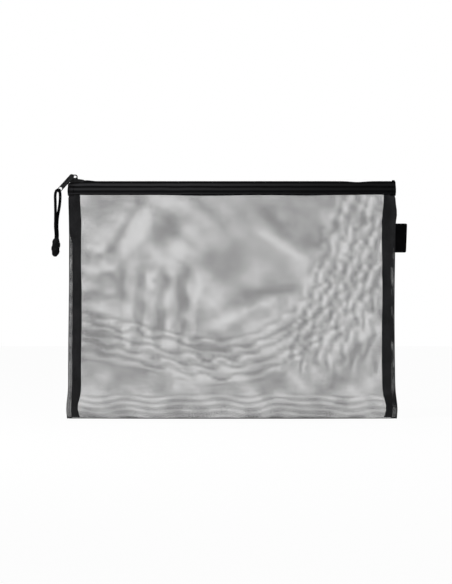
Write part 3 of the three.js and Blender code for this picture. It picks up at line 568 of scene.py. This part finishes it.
def shift(across, up, side):
    """A layer's yarns lie this far to the side of and above even spacing, in metres, with their thickness."""
    sideways, upwards = lined_up(across, up)
    x, z = np.broadcast_arrays(across, up)
    depth = 2 * cloth_half_depth(np.minimum(np.abs(x), BINDING_INNER), np.clip(z, 0, MESH_TOP))
    # Seen from the camera, the back layer looks a little smaller than the front one, which this makes up for.
    depth = depth / CAMERA_DISTANCE
    to_side = YARN_WIDTH * (1 - sideways) + depth * (x - CAMERA_X)
    to_top = YARN_WIDTH * (1 - upwards) + depth * (z - CAMERA_HEIGHT)
    # The yarns are drawn together at the sewn edge.
    at_edge = 1 + 0.75 * smooth(0.160, 0.162, np.abs(x)) + 0.4 * smooth(0.004, 0.0005, z)
    thickness = YARN_WIDTH * (1.1 - 0.1 * (sideways + upwards)) * at_edge
    return side / 2 * to_side, side / 2 * to_top, thickness


# Steps along a yarn, close together where the cloth turns under the bag and round the side seams
UNDERSIDE_HEIGHTS = np.linspace(-BASE_HALF_DEPTH, -0.0014, 5)
CORNER_HEIGHTS = np.linspace(-0.0009, BASE_CORNER + 0.0002, 7)
WALL_HEIGHTS = np.linspace(BASE_CORNER + 0.0012, MESH_TOP, 40)
FACE_REACHES = np.linspace(-HALF_WIDTH + 0.004, HALF_WIDTH - 0.004, 64)
TURN_REACHES = np.linspace(0.0015, 0.0115, 4)
# Yarns are tried this far past the cloth's edges, because the slack shifts them.
SLACK_MARGIN = 0.02
WEFT_INSET = 0.45 * YARN_WIDTH


def mesh_layer(name, side):
    """The yarns that run up (warps), and those that run across (wefts)."""
    reach = HALF_WIDTH - SEAM_NOSE + SEAM_TURN + RETURN_LENGTH
    starts = np.arange(-reach - SLACK_MARGIN, reach + SLACK_MARGIN, YARN_PITCH)[:, None]
    up = np.concatenate([UNDERSIDE_HEIGHTS, CORNER_HEIGHTS, WALL_HEIGHTS])[None, :]
    to_side, _, thickness = shift(starts, up, side)
    across = starts + to_side
    place, on_layer = on_cloth(across, up + 0 * across, side)
    kept = on_layer & (np.abs(across) < reach)
    warps = tube_arrays(place, (1, 0, 0), thickness, YARN_FLATNESS * thickness, 4, kept)

    levels = np.arange(-BASE_HALF_DEPTH - SLACK_MARGIN, MESH_TOP + SLACK_MARGIN, YARN_PITCH)[:, None]
    left_turn, right_turn = FACE_REACHES[0] - TURN_REACHES[::-1], FACE_REACHES[-1] + TURN_REACHES
    across = np.concatenate([left_turn, FACE_REACHES, right_turn])[None, :]
    _, to_top, thickness = shift(np.clip(across, -HALF_WIDTH, HALF_WIDTH), levels, side)
    up = levels + to_top
    place, on_layer = on_cloth(across + 0 * up, up, side)
    kept = on_layer & (up < MESH_TOP)
    place[..., 1] -= side * WEFT_INSET
    wefts = tube_arrays(place, (0, 0, 1), thickness, YARN_FLATNESS * thickness, 4, kept)
    pieces = []
    for end, arrays in (("warps", warps), ("wefts", wefts)):
        piece = quads_object(f"{name}_{end}", *arrays, yarn)
        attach(piece, "bag")
        pieces.append(piece)
    return pieces


# The two mesh layers of yarns, which take the place of the solid panels
for name, side, nodes in (("front_mesh", -1, ("front_panel", "bottom_fold")), ("back_mesh", 1, ("back_panel",))):
    warps, wefts = mesh_layer(name, side)
    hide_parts(*nodes)


# Straps: long strips of cloth with a cross-section that may change along their length
def strip(name, along, section, material):
    """along are places on the strip's run, and section(t) gives a closed ring of points for each."""
    rings = np.array([section(t) for t in along])
    count, sides, _ = rings.shape
    index = np.arange(count * sides).reshape(count, sides)
    piece = mesh_object(name, rings.reshape(-1, 3), ring_faces(index), material)
    mend_normals(piece)
    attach(piece, "bag")
    return piece


def band_ring(line, thickness):
    """A closed ring round an open line of (a, b) points: the line on one side, and its offset on the other."""
    line = np.asarray(line, dtype=float)
    tangent = unit(np.gradient(line, axis=0))
    normal = np.stack([-tangent[:, 1], tangent[:, 0]], axis=-1)
    return np.concatenate([line + normal * thickness / 2, (line - normal * thickness / 2)[::-1]])


def arc(centre_a, centre_b, radius, start, end, steps):
    angles = np.radians(np.linspace(start, end, steps))
    return [(centre_a + radius * math.cos(t), centre_b + radius * math.sin(t)) for t in angles]


# Zipper tapes: flat under the teeth, folded down over the mesh, with two sewn grooves and a turned lower edge
GROOVE_HEIGHTS = (0.2336, 0.2286)
GROOVE_DEPTH = 0.0008
GROOVE_HALF = 0.0008
TAPE_THICKNESS = 0.0005
TAPE_INNER = 0.00125
TAPE_FOLD, TAPE_FOLD_RADIUS = 0.0030, 0.00115
TAPE_SAG = 0.0008


def tape_puff(z, x):
    """How far the tape's face stands out between its sewn grooves."""
    sunk = sum(np.exp(-(((z - g) / GROOVE_HALF) ** 2)) for g in GROOVE_HEIGHTS)
    pucker = 0.25 * np.sin(x / 0.0031) * np.exp(-(((z - GROOVE_HEIGHTS[1]) / 0.002) ** 2))
    wave = 0.00018 * math.sin(x / 0.021 + z / 0.009) + 0.00012 * math.sin(x / 0.0083 - z / 0.004)
    return 0.0006 - GROOVE_DEPTH * (sunk + pucker * 0.3) + wave


def ridge_drift(x):
    """The zipper stands up behind the closed slider, and sags before its sewn right end."""
    sag = 0.0009 * np.exp(-(((x - 0.127) / 0.0095) ** 2))
    behind = 0.0009 * np.exp(-(((x + 0.146) / 0.006) ** 2))
    return behind - sag


def tape_line(x):
    """The tape's middle line at a place along the zipper, as (depth, height), from the teeth down."""
    face = TAPE_FOLD + TAPE_FOLD_RADIUS
    flat_height = TAPE_TOP - TAPE_THICKNESS / 2 + ridge_drift(x)
    fold_bottom = flat_height - TAPE_FOLD_RADIUS
    line = [(y, flat_height) for y in np.linspace(TAPE_INNER, TAPE_FOLD, 4)]
    line += arc(TAPE_FOLD, fold_bottom, TAPE_FOLD_RADIUS, 80, 0, 6)
    sag = TAPE_SAG * (1 - (x / TAPE_HALF_LENGTH) ** 2)
    lower_edge = TAPE_BOTTOM - sag - 0.0003 + 0.0002 * math.sin(x / 0.017)
    for z in np.linspace(fold_bottom - 0.0005, lower_edge, 34):
        line.append((face + tape_puff(z, x), z))
    # The lower edge is turned under.
    line += [(y, lower_edge - 0.0001) for y in (face - 0.0001, face - 0.0005)]
    return line


def zipper_tape(name, side):
    places = np.linspace(-TAPE_HALF_LENGTH, TAPE_HALF_LENGTH, 330)

    def section(x):
        ring = band_ring(tape_line(x), TAPE_THICKNESS * 0.85)
        return [(x, side * y, z) for y, z in ring]

    return strip(name, places, section, tape_cloth)


front_tape = zipper_tape("front_tape", -1)
back_tape = zipper_tape("back_tape", 1)
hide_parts("front_zipper_tape")
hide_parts("back_zipper_tape")


# Stitches: short rounded lengths of thread, each dipping into the cloth at its ends
THREAD_WIDTH = 0.00032
THREAD_FLATNESS = 0.8
STITCH_STEPS = 7


def stitch_row(name, route, length, gap, normal):
    """route is a function from distance along the seam to a place; it returns None past its end."""
    run = np.linspace(0, 1, STITCH_STEPS)
    lift = np.sin(math.pi * run) ** 0.6
    rise = np.outer(THREAD_WIDTH * (0.55 * lift - 0.25), normal)
    paths = []
    start = 0.0
    while True:
        places = [route(start + length * t) for t in run]
        if any(p is None for p in places):
            break
        paths.append(np.array(places) + rise)
        start += length + gap
    paths = np.array(paths)
    hint = unit(np.cross(paths[0, -1] - paths[0, 0], normal))
    points, quads = tube_arrays(paths, hint, THREAD_WIDTH, THREAD_WIDTH * THREAD_FLATNESS, 6)
    piece = quads_object(name, points, quads, thread_cloth)
    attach(piece, "bag")


def along_tape(height, side):
    def route(distance):
        x = -TAPE_HALF_LENGTH + 0.003 + distance
        if x > TAPE_HALF_LENGTH - 0.002:
            return None
        y = TAPE_FOLD + TAPE_FOLD_RADIUS + tape_puff(height, x) + TAPE_THICKNESS * 0.42
        return (x, side * y, height)

    return route


for side, where in ((-1, "front"), (1, "back")):
    for n, height in enumerate(GROOVE_HEIGHTS):
        stitch_row(f"{where}_tape_stitches_{n + 1}", along_tape(height, side), 0.0024, 0.0005, (0, side, 0))


# Teeth: a nylon coil for each tape, whose turns lock in the middle and part round the slider's wedge
TOOTH_PITCH = 0.0017
TEETH_BASE = 0.2377
TEETH_HEIGHT = 0.002
SLIDER_NOSE = -0.1633
SPREAD_START = SLIDER_NOSE + 0.0037
SPREAD_LENGTH = 0.0082
ROW_SPREAD = 0.00175
COIL_WIRE = 0.00062
COIL_STEPS = 14
COIL_MIDDLE, COIL_HALF_WIDTH = 0.0009, 0.0014
CORE_MIDDLE, CORE_WIDTH, CORE_HEIGHT, CORE_DROP = 0.0012, 0.0016, 0.0017, 0.00015


def row_spread(x):
    return ROW_SPREAD * (1 - smooth(SPREAD_START, SPREAD_START + SPREAD_LENGTH, x))


def coil_row(name, side):
    """One unbroken helix: each turn's head reaches past the middle between the other row's heads."""
    turns = int((2 * TAPE_HALF_LENGTH - 0.002) / TOOTH_PITCH)
    t = np.arange(turns * COIL_STEPS + 1) / COIL_STEPS
    shift = TOOTH_PITCH / 2 if side > 0 else 0
    phase = t * 2 * math.pi
    # The wire runs straight across on its way to the head and back, and steps on at the spine.
    step = t - np.sin(phase) * 0.12
    x = -TAPE_HALF_LENGTH + 0.0009 + shift + step * TOOTH_PITCH
    y = COIL_MIDDLE - COIL_HALF_WIDTH * np.cos(phase)
    z = TEETH_BASE + ridge_drift(x) + TEETH_HEIGHT / 2 + (TEETH_HEIGHT - COIL_WIRE) / 2 * np.sin(phase)
    path = np.stack([x, side * (y + row_spread(x)), z], axis=-1)[None]
    points, quads = tube_arrays(path, (1, 0, 0), COIL_WIRE, COIL_WIRE * 0.92, 8)
    piece = quads_object(name, points, quads, teeth_nylon)
    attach(piece, "bag")
    return piece


def coil_core(name, side):
    """The cord that the coil is wound and sewn round."""
    x = np.linspace(-TAPE_HALF_LENGTH, TAPE_HALF_LENGTH, 260)
    z = TEETH_BASE + TEETH_HEIGHT / 2 + ridge_drift(x) - CORE_DROP
    path = np.stack([x, side * (CORE_MIDDLE + row_spread(x)), z], axis=-1)[None]
    points, quads = tube_arrays(path, (0, 1, 0), CORE_WIDTH, CORE_HEIGHT, 8)
    piece = quads_object(name, points, quads, thread_cloth)
    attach(piece, "bag")


coil_core("front_coil_core", -1)
coil_core("back_coil_core", 1)
front_coil = coil_row("front_coil", -1)
back_coil = coil_row("back_coil", 1)
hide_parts("front_teeth")
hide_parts("back_teeth")


# Side bindings: tape folded round the raw edges between the two mesh layers
BINDING_BOTTOM, BINDING_TOP = 0.0012, 0.2305
BINDING_HALF = 0.00085
RIBBON_THICKNESS = 0.00045
# Stitches run this far from the tape's edge, on its outside.
EDGE_TO_STITCHES, STITCH_HEIGHT = 0.0016, 0.00118


def binding_shift(z, side):
    """The band leans out a little towards the bottom corner and is drawn together under the zipper."""
    corner = 0.0038 * np.exp(-(((z - 0.011) / 0.011) ** 2))
    top = 0.0016 * smooth(0.195, 0.222, z)
    return corner + top + 0.0003 * math.sin(z / 0.019 + side)


def binding(name, side):
    heights = np.linspace(BINDING_BOTTOM, BINDING_TOP, 150)
    right = 1.0 if side > 0 else 0.0

    def section(z):
        inner = BINDING_INNER_EDGE + binding_shift(z, side)
        # Above the tab the band reaches further into the seam.
        outer = BINDING_OUTER - 0.0013 + 0.0036 * smooth(0.172, 0.192, z) + 0.6 * seam_drift(z, right)
        half = BINDING_HALF + 0.00012 * math.sin(z / 0.013 + side)
        line = [(a, -half) for a in np.linspace(inner, outer - half, 8)]
        line += arc(outer - half, 0, half, -75, 75, 7)
        line += [(a, half) for a in np.linspace(outer - half, inner, 8)]
        ring = band_ring(line, RIBBON_THICKNESS)
        return [(side * a, b, z) for a, b in ring]

    return strip(name, heights, section, binding_cloth)


left_binding = binding("left_binding", -1)
right_binding = binding("right_binding", 1)
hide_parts("left_seam_binding")
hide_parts("right_seam_binding")


def along_binding(side, face):
    def route(distance):
        z = 0.004 + distance
        if z > 0.221:
            return None
        x = BINDING_INNER_EDGE + binding_shift(z, side) + EDGE_TO_STITCHES
        return (side * x, face * STITCH_HEIGHT, z)

    return route


for side, where in ((-1, "left"), (1, "right")):
    for face, layer in ((-1, "front"), (1, "back")):
        stitch_row(f"{where}_binding_stitches_{layer}", along_binding(side, face), 0.0026, 0.0006, (0, face, 0))


# Zipper ends: the tapes folded round and sewn over the top of each side seam
END_THICKNESS = 0.0007
END_CORNER_RADIUS = 0.0017
OVER_TAPE = 0.0021


def zipper_end(name, side, top):
    heights = np.linspace(SHOULDER_TOP + 0.0003, top, 26)

    def section(z):
        t = (z - heights[0]) / (heights[-1] - heights[0])
        bulge = 0.0004 * math.sin(math.pi * min(t * 1.4, 1))
        rounded = max(0, (t - 0.8) / 0.2) ** 2
        end = HALF_WIDTH - 0.0001 + bulge - 0.0012 * rounded
        half = TAPE_OUTER - 0.0003 * (1 - math.sin(math.pi * t)) + 0.00015 - 0.0022 * rounded
        # Above the tapes the end stays clear of the slider.
        inner = TAPE_HALF_LENGTH - OVER_TAPE + 0.0016 * smooth(0.2362, 0.2372, z) + 0.0007 * rounded
        corner = end - END_CORNER_RADIUS
        line = [(a, -half) for a in np.linspace(inner, corner, 5)]
        line += arc(corner, -half + END_CORNER_RADIUS, END_CORNER_RADIUS, -80, 0, 6)
        line += arc(corner, half - END_CORNER_RADIUS, END_CORNER_RADIUS, 0, 80, 6)
        line += [(a, half) for a in np.linspace(corner, inner, 5)]
        ring = band_ring(line, END_THICKNESS)
        return [(side * a, b, z) for a, b in ring]

    return strip(name, heights, section, tape_cloth)


left_end = zipper_end("left_end", -1, TAPE_TOP + 0.0003)
right_end = zipper_end("right_end", 1, TEETH_BASE + TEETH_HEIGHT + 0.0008)
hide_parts("left_zipper_end")
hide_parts("right_zipper_end")


# Side tab: a blank black ribbon folded in half, with its corners rounded by wear
TAB_ROOT = 0.1630
TAB_REACH, TAB_SLANT = 0.1757, 0.0011
TAB_CORNER = 0.0016


def side_tab():
    run = np.linspace(0, 1, 14)
    swell = 1 + 0.15 * np.sin(run * 3)

    def section(t):
        z = TAB_BOTTOM + t * (TAB_TOP - TAB_BOTTOM)
        end = TAB_REACH + TAB_SLANT * t
        close = min(t, 1 - t) * (TAB_TOP - TAB_BOTTOM)
        if close < TAB_CORNER:
            end -= TAB_CORNER - math.sqrt(max(TAB_CORNER**2 - (TAB_CORNER - close) ** 2, 0))
        half = 0.0006 + 0.0001 * math.sin(t * 9)
        reach = TAB_ROOT + (end - half - TAB_ROOT) * run
        line = list(zip(reach, -half * swell))
        line += arc(end - half, 0, half, -70, 70, 7)
        line += list(zip(reach[::-1], half * swell[::-1]))
        return [(a, b, z) for a, b in band_ring(line, RIBBON_THICKNESS)]

    ends = np.linspace(0, 0.06, 7)
    places = np.concatenate([ends, np.linspace(0.08, 0.92, 40), 1 - ends[::-1]])
    return strip("ribbon_tab", places, section, ribbon_cloth)


ribbon_tab = side_tab()
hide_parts("side_tab")


# Cord: the route of the solids, laced through the slot in the pull and back into the grip
CORD_DIAMETER = 0.0026
CORD_ROUTE = np.array([
    (-176.875, -10.375, 183.189),
    (-176.875, -10.375, 186.189),
    (-177.375, -10.375, 193.189),
    (-177.275, -10.375, 201.189),
    (-177.225, -10.800, 209.189),
    (-177.325, -11.100, 217.189),
    (-177.425, -11.300, 225.189),
    (-176.925, -11.500, 227.889),
    (-176.025, -11.700, 229.789),
    (-174.925, -11.600, 230.289),
    (-173.875, -10.900, 230.289),
    (-173.525, -9.600, 230.289),
    (-173.525, -8.200, 230.289),
    (-173.325, -7.100, 229.789),
    (-173.025, -6.600, 228.489),
    (-172.775, -6.700, 224.989),
    (-172.825, -6.800, 220.989),
    (-173.225, -7.000, 215.989),
    (-173.925, -7.300, 210.989),
    (-174.825, -7.700, 205.989),
    (-175.425, -7.975, 200.989),
    (-175.775, -8.175, 193.189),
    (-175.375, -8.175, 186.189),
    (-175.375, -8.175, 183.189),
]) * MM
CORD_STEPS = 320
CORD_SIDES = 20
BRAID_STRANDS = 4
BRAID_PITCH = 0.0042
BRAID_DEPTH = 0.00009
CORD_FLUFF = 0.0001


def smooth_route(points, steps):
    """The curve that the solids follow through these points (a centripetal spline), at equal distances."""
    ends = [2 * points[0] - points[1], *points, 2 * points[-1] - points[-2]]
    curve = []
    for a, b, c, d in zip(ends, ends[1:], ends[2:], ends[3:]):
        spans = [max(np.linalg.norm(q - p) ** 0.5, 1e-6) for p, q in ((a, b), (b, c), (c, d))]
        leave = (b - a) / spans[0] - (c - a) / (spans[0] + spans[1]) + (c - b) / spans[1]
        arrive = (c - b) / spans[1] - (d - b) / (spans[1] + spans[2]) + (d - c) / spans[2]
        leave, arrive = leave * spans[1], arrive * spans[1]
        for t in np.linspace(0, 1, 40, endpoint=False):
            cubic = 2 * b - 2 * c + leave + arrive
            square = -3 * b + 3 * c - 2 * leave - arrive
            curve.append(cubic * t**3 + square * t**2 + leave * t + b)
    curve = np.array(curve + [points[-1]])
    distance = np.concatenate([[0], np.cumsum(np.linalg.norm(np.diff(curve, axis=0), axis=1))])
    even = np.linspace(0, distance[-1], steps)
    return np.stack([np.interp(even, distance, curve[:, k]) for k in range(3)], axis=-1), distance[-1]


def carried_frames(path):
    """Two directions square to the path at each point, carried along it without a twist."""
    tangent = unit(np.gradient(path, axis=0))
    side = np.cross(tangent[0], (0, 1, 0))
    sides = []
    for t in tangent:
        side = side - t * (side @ t)
        side = side / np.linalg.norm(side)
        sides.append(side)
    sides = np.array(sides)
    return sides, np.cross(tangent, sides)


def braided_cord():
    path, length = smooth_route(CORD_ROUTE, CORD_STEPS)
    across, up = carried_frames(path)
    along = np.linspace(0, length, CORD_STEPS)[:, None]
    angle = (np.arange(CORD_SIDES) / CORD_SIDES * 2 * math.pi)[None, :]
    turn = along / BRAID_PITCH * 2 * math.pi
    one = np.cos(BRAID_STRANDS * angle + turn * 2)
    two = np.cos(BRAID_STRANDS * angle - turn * 2)
    radius = CORD_DIAMETER / 2 + CORD_FLUFF + BRAID_DEPTH * np.maximum(one, two)
    ring = across[:, None, :] * np.cos(angle)[..., None] + up[:, None, :] * np.sin(angle)[..., None]
    points = path[:, None, :] + ring * radius[..., None]
    index = np.arange(CORD_STEPS * CORD_SIDES).reshape(CORD_STEPS, CORD_SIDES)
    piece = mesh_object("cord_loop", points.reshape(-1, 3), ring_faces(index), cord_cloth)
    mend_normals(piece)
    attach(piece, "puller")
    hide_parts("pull_cord")
    return piece, path, length


# Grip: a flattened pod with ribs that cross over each other
GRIP_TOP = np.array([-0.176125, -0.009275, 0.182889])
GRIP_LENGTH = 0.0199
GRIP_HALF_WIDTH = 0.0042
GRIP_FLATNESS = 0.75
GRIP_LEAN = math.radians(5)
GRIP_RINGS = 120
GRIP_SIDES = 72
GRIP_COLLAR = 0.0009
GRIP_MOUTH_RADIUS = 0.0023
RIB_DEPTH = 0.00055
RIB_FAMILIES = 3
RIB_TURNS = 2.6


def moulded_grip():
    share = np.linspace(0, 1, GRIP_RINGS)[:, None]
    collar = GRIP_COLLAR * (1 - share / 0.05).clip(0, 1)
    angle = (np.arange(GRIP_SIDES) / GRIP_SIDES * 2 * math.pi)[None, :]
    from_middle = np.abs(share - 0.5) * 2
    swell = np.where(share < 0.5, (1 - from_middle**2.6) ** 0.5, (1 - from_middle**3) ** 0.52)
    one = np.cos(RIB_FAMILIES * angle + RIB_TURNS * 2 * math.pi * share)
    two = np.cos(RIB_FAMILIES * angle - RIB_TURNS * 2 * math.pi * share)
    rib = smooth(0.35, 0.95, np.maximum(one, two))
    fade = smooth(0.04, 0.12, share) * (1 - smooth(0.88, 0.98, share))
    radius = GRIP_HALF_WIDTH * swell + RIB_DEPTH * (rib - 0.6) * fade
    radius = np.maximum(radius, GRIP_MOUTH_RADIUS * (share < 0.05))
    x, y, z = radius * np.cos(angle), radius * np.sin(angle) * GRIP_FLATNESS, collar - GRIP_LENGTH * share + 0 * angle
    lean_x = x * math.cos(GRIP_LEAN) + z * math.sin(GRIP_LEAN)
    lean_z = -x * math.sin(GRIP_LEAN) + z * math.cos(GRIP_LEAN)
    points = (np.stack([lean_x, y, lean_z], axis=-1) + GRIP_TOP).reshape(-1, 3)
    index = np.arange(GRIP_RINGS * GRIP_SIDES).reshape(GRIP_RINGS, GRIP_SIDES)
    # The first and last rings are points, so the pod is closed at the rings next to them.
    piece = mesh_object("grip", points, ring_faces(index[1:-1]), grip_rubber)
    piece.data.validate()
    mend_normals(piece)
    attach(piece, "puller")
    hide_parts("cord_grip")
    return piece


grip = moulded_grip()
cord, cord_path, CORD_LENGTH = braided_cord()
tuple(cord_path[0])
[tuple(p) for p in cord_path[::4]]


# Slider and pull: cast, so their edges are rounded
CAST_VOXEL = 0.00014


def cast_edges(name):
    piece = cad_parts[name]
    piece.data.materials.clear()
    piece.data.materials.append(slider_metal)
    join = piece.modifiers.new("join", "WELD")
    join.merge_threshold = 1e-6
    melt = piece.modifiers.new("melt", "REMESH")
    melt.mode = "VOXEL"
    melt.voxel_size = CAST_VOXEL
    melt.use_smooth_shade = True
    relax = piece.modifiers.new("relax", "SMOOTH")
    relax.factor = 0.5
    relax.iterations = 5


for name in ("slider", "pull_tab"):
    cast_edges(name)


# Stage and light: a white floor and room, a soft lamp on the left and a weaker one on the right
FLOOR_GLOW = 0.95
FLOOR_REACH = 4
ROOM_LIGHT = 0.55
WHITE = (1, 1, 1, 1)


def seen_directly(nodes, links):
    """1 for rays from the camera, and for those that metal or glass turns or lets through."""
    path = nodes.new("ShaderNodeLightPath")
    seen = math_node(nodes, links, "MAXIMUM", path.outputs["Is Camera Ray"], path.outputs["Is Glossy Ray"])
    return math_node(nodes, links, "MAXIMUM", seen, path.outputs["Is Transmission Ray"])


def floor():
    made = material("floor_white", (0.9, 0.9, 0.9), 0.9, Specular_IOR_Level=0)
    nodes, links = made.node_tree.nodes, made.node_tree.links
    shader = nodes["Principled BSDF"]
    glow = nodes.new("ShaderNodeEmission")
    glow.inputs["Color"].default_value = WHITE
    glow.inputs["Strength"].default_value = 1
    mix = nodes.new("ShaderNodeMixShader")
    share = math_node(nodes, links, "MULTIPLY", seen_directly(nodes, links), FLOOR_GLOW)
    links.new(share, mix.inputs[0])
    links.new(shader.outputs[0], mix.inputs[1])
    links.new(glow.outputs[0], mix.inputs[2])
    links.new(mix.outputs[0], nodes["Material Output"].inputs["Surface"])
    corners = [(a * FLOOR_REACH, b * FLOOR_REACH, 0) for a, b in ((-1, -1), (1, -1), (1, 1), (-1, 1))]
    piece = mesh_object("floor", corners, [(0, 1, 2, 3)], made, shade_smooth=False)


def room():
    world = bpy.data.worlds.new("room")
    bpy.context.scene.world = world
    world.use_nodes = True
    nodes, links = world.node_tree.nodes, world.node_tree.links
    light = nodes["Background"]
    light.inputs["Color"].default_value = WHITE
    light.inputs["Strength"].default_value = ROOM_LIGHT
    seen = nodes.new("ShaderNodeBackground")
    seen.inputs["Color"].default_value = WHITE
    seen.inputs["Strength"].default_value = 1
    mix = nodes.new("ShaderNodeMixShader")
    links.new(seen_directly(nodes, links), mix.inputs[0])
    links.new(light.outputs[0], mix.inputs[1])
    links.new(seen.outputs[0], mix.inputs[2])
    links.new(mix.outputs[0], nodes["World Output"].inputs["Surface"])


def lamp(name, place, target, size, power):
    data = bpy.data.lights.new(name, "AREA")
    data.shape = "SQUARE"
    data.size = size
    data.energy = power
    piece = bpy.data.objects.new(name, data)
    piece.location = place
    piece.rotation_euler = (Vector(target) - Vector(place)).to_track_quat("-Z", "Y").to_euler()
    bpy.context.collection.objects.link(piece)


floor()
room()
lamp("left_lamp", (-0.75, -0.75, 0.75), (-0.05, 0, 0.12), 0.6, 8)
lamp("right_lamp", (1.4, -1.2, 0.9), (0, 0, 0.12), 0.9, 3)
bpy.context.scene.view_settings.view_transform = "Standard"
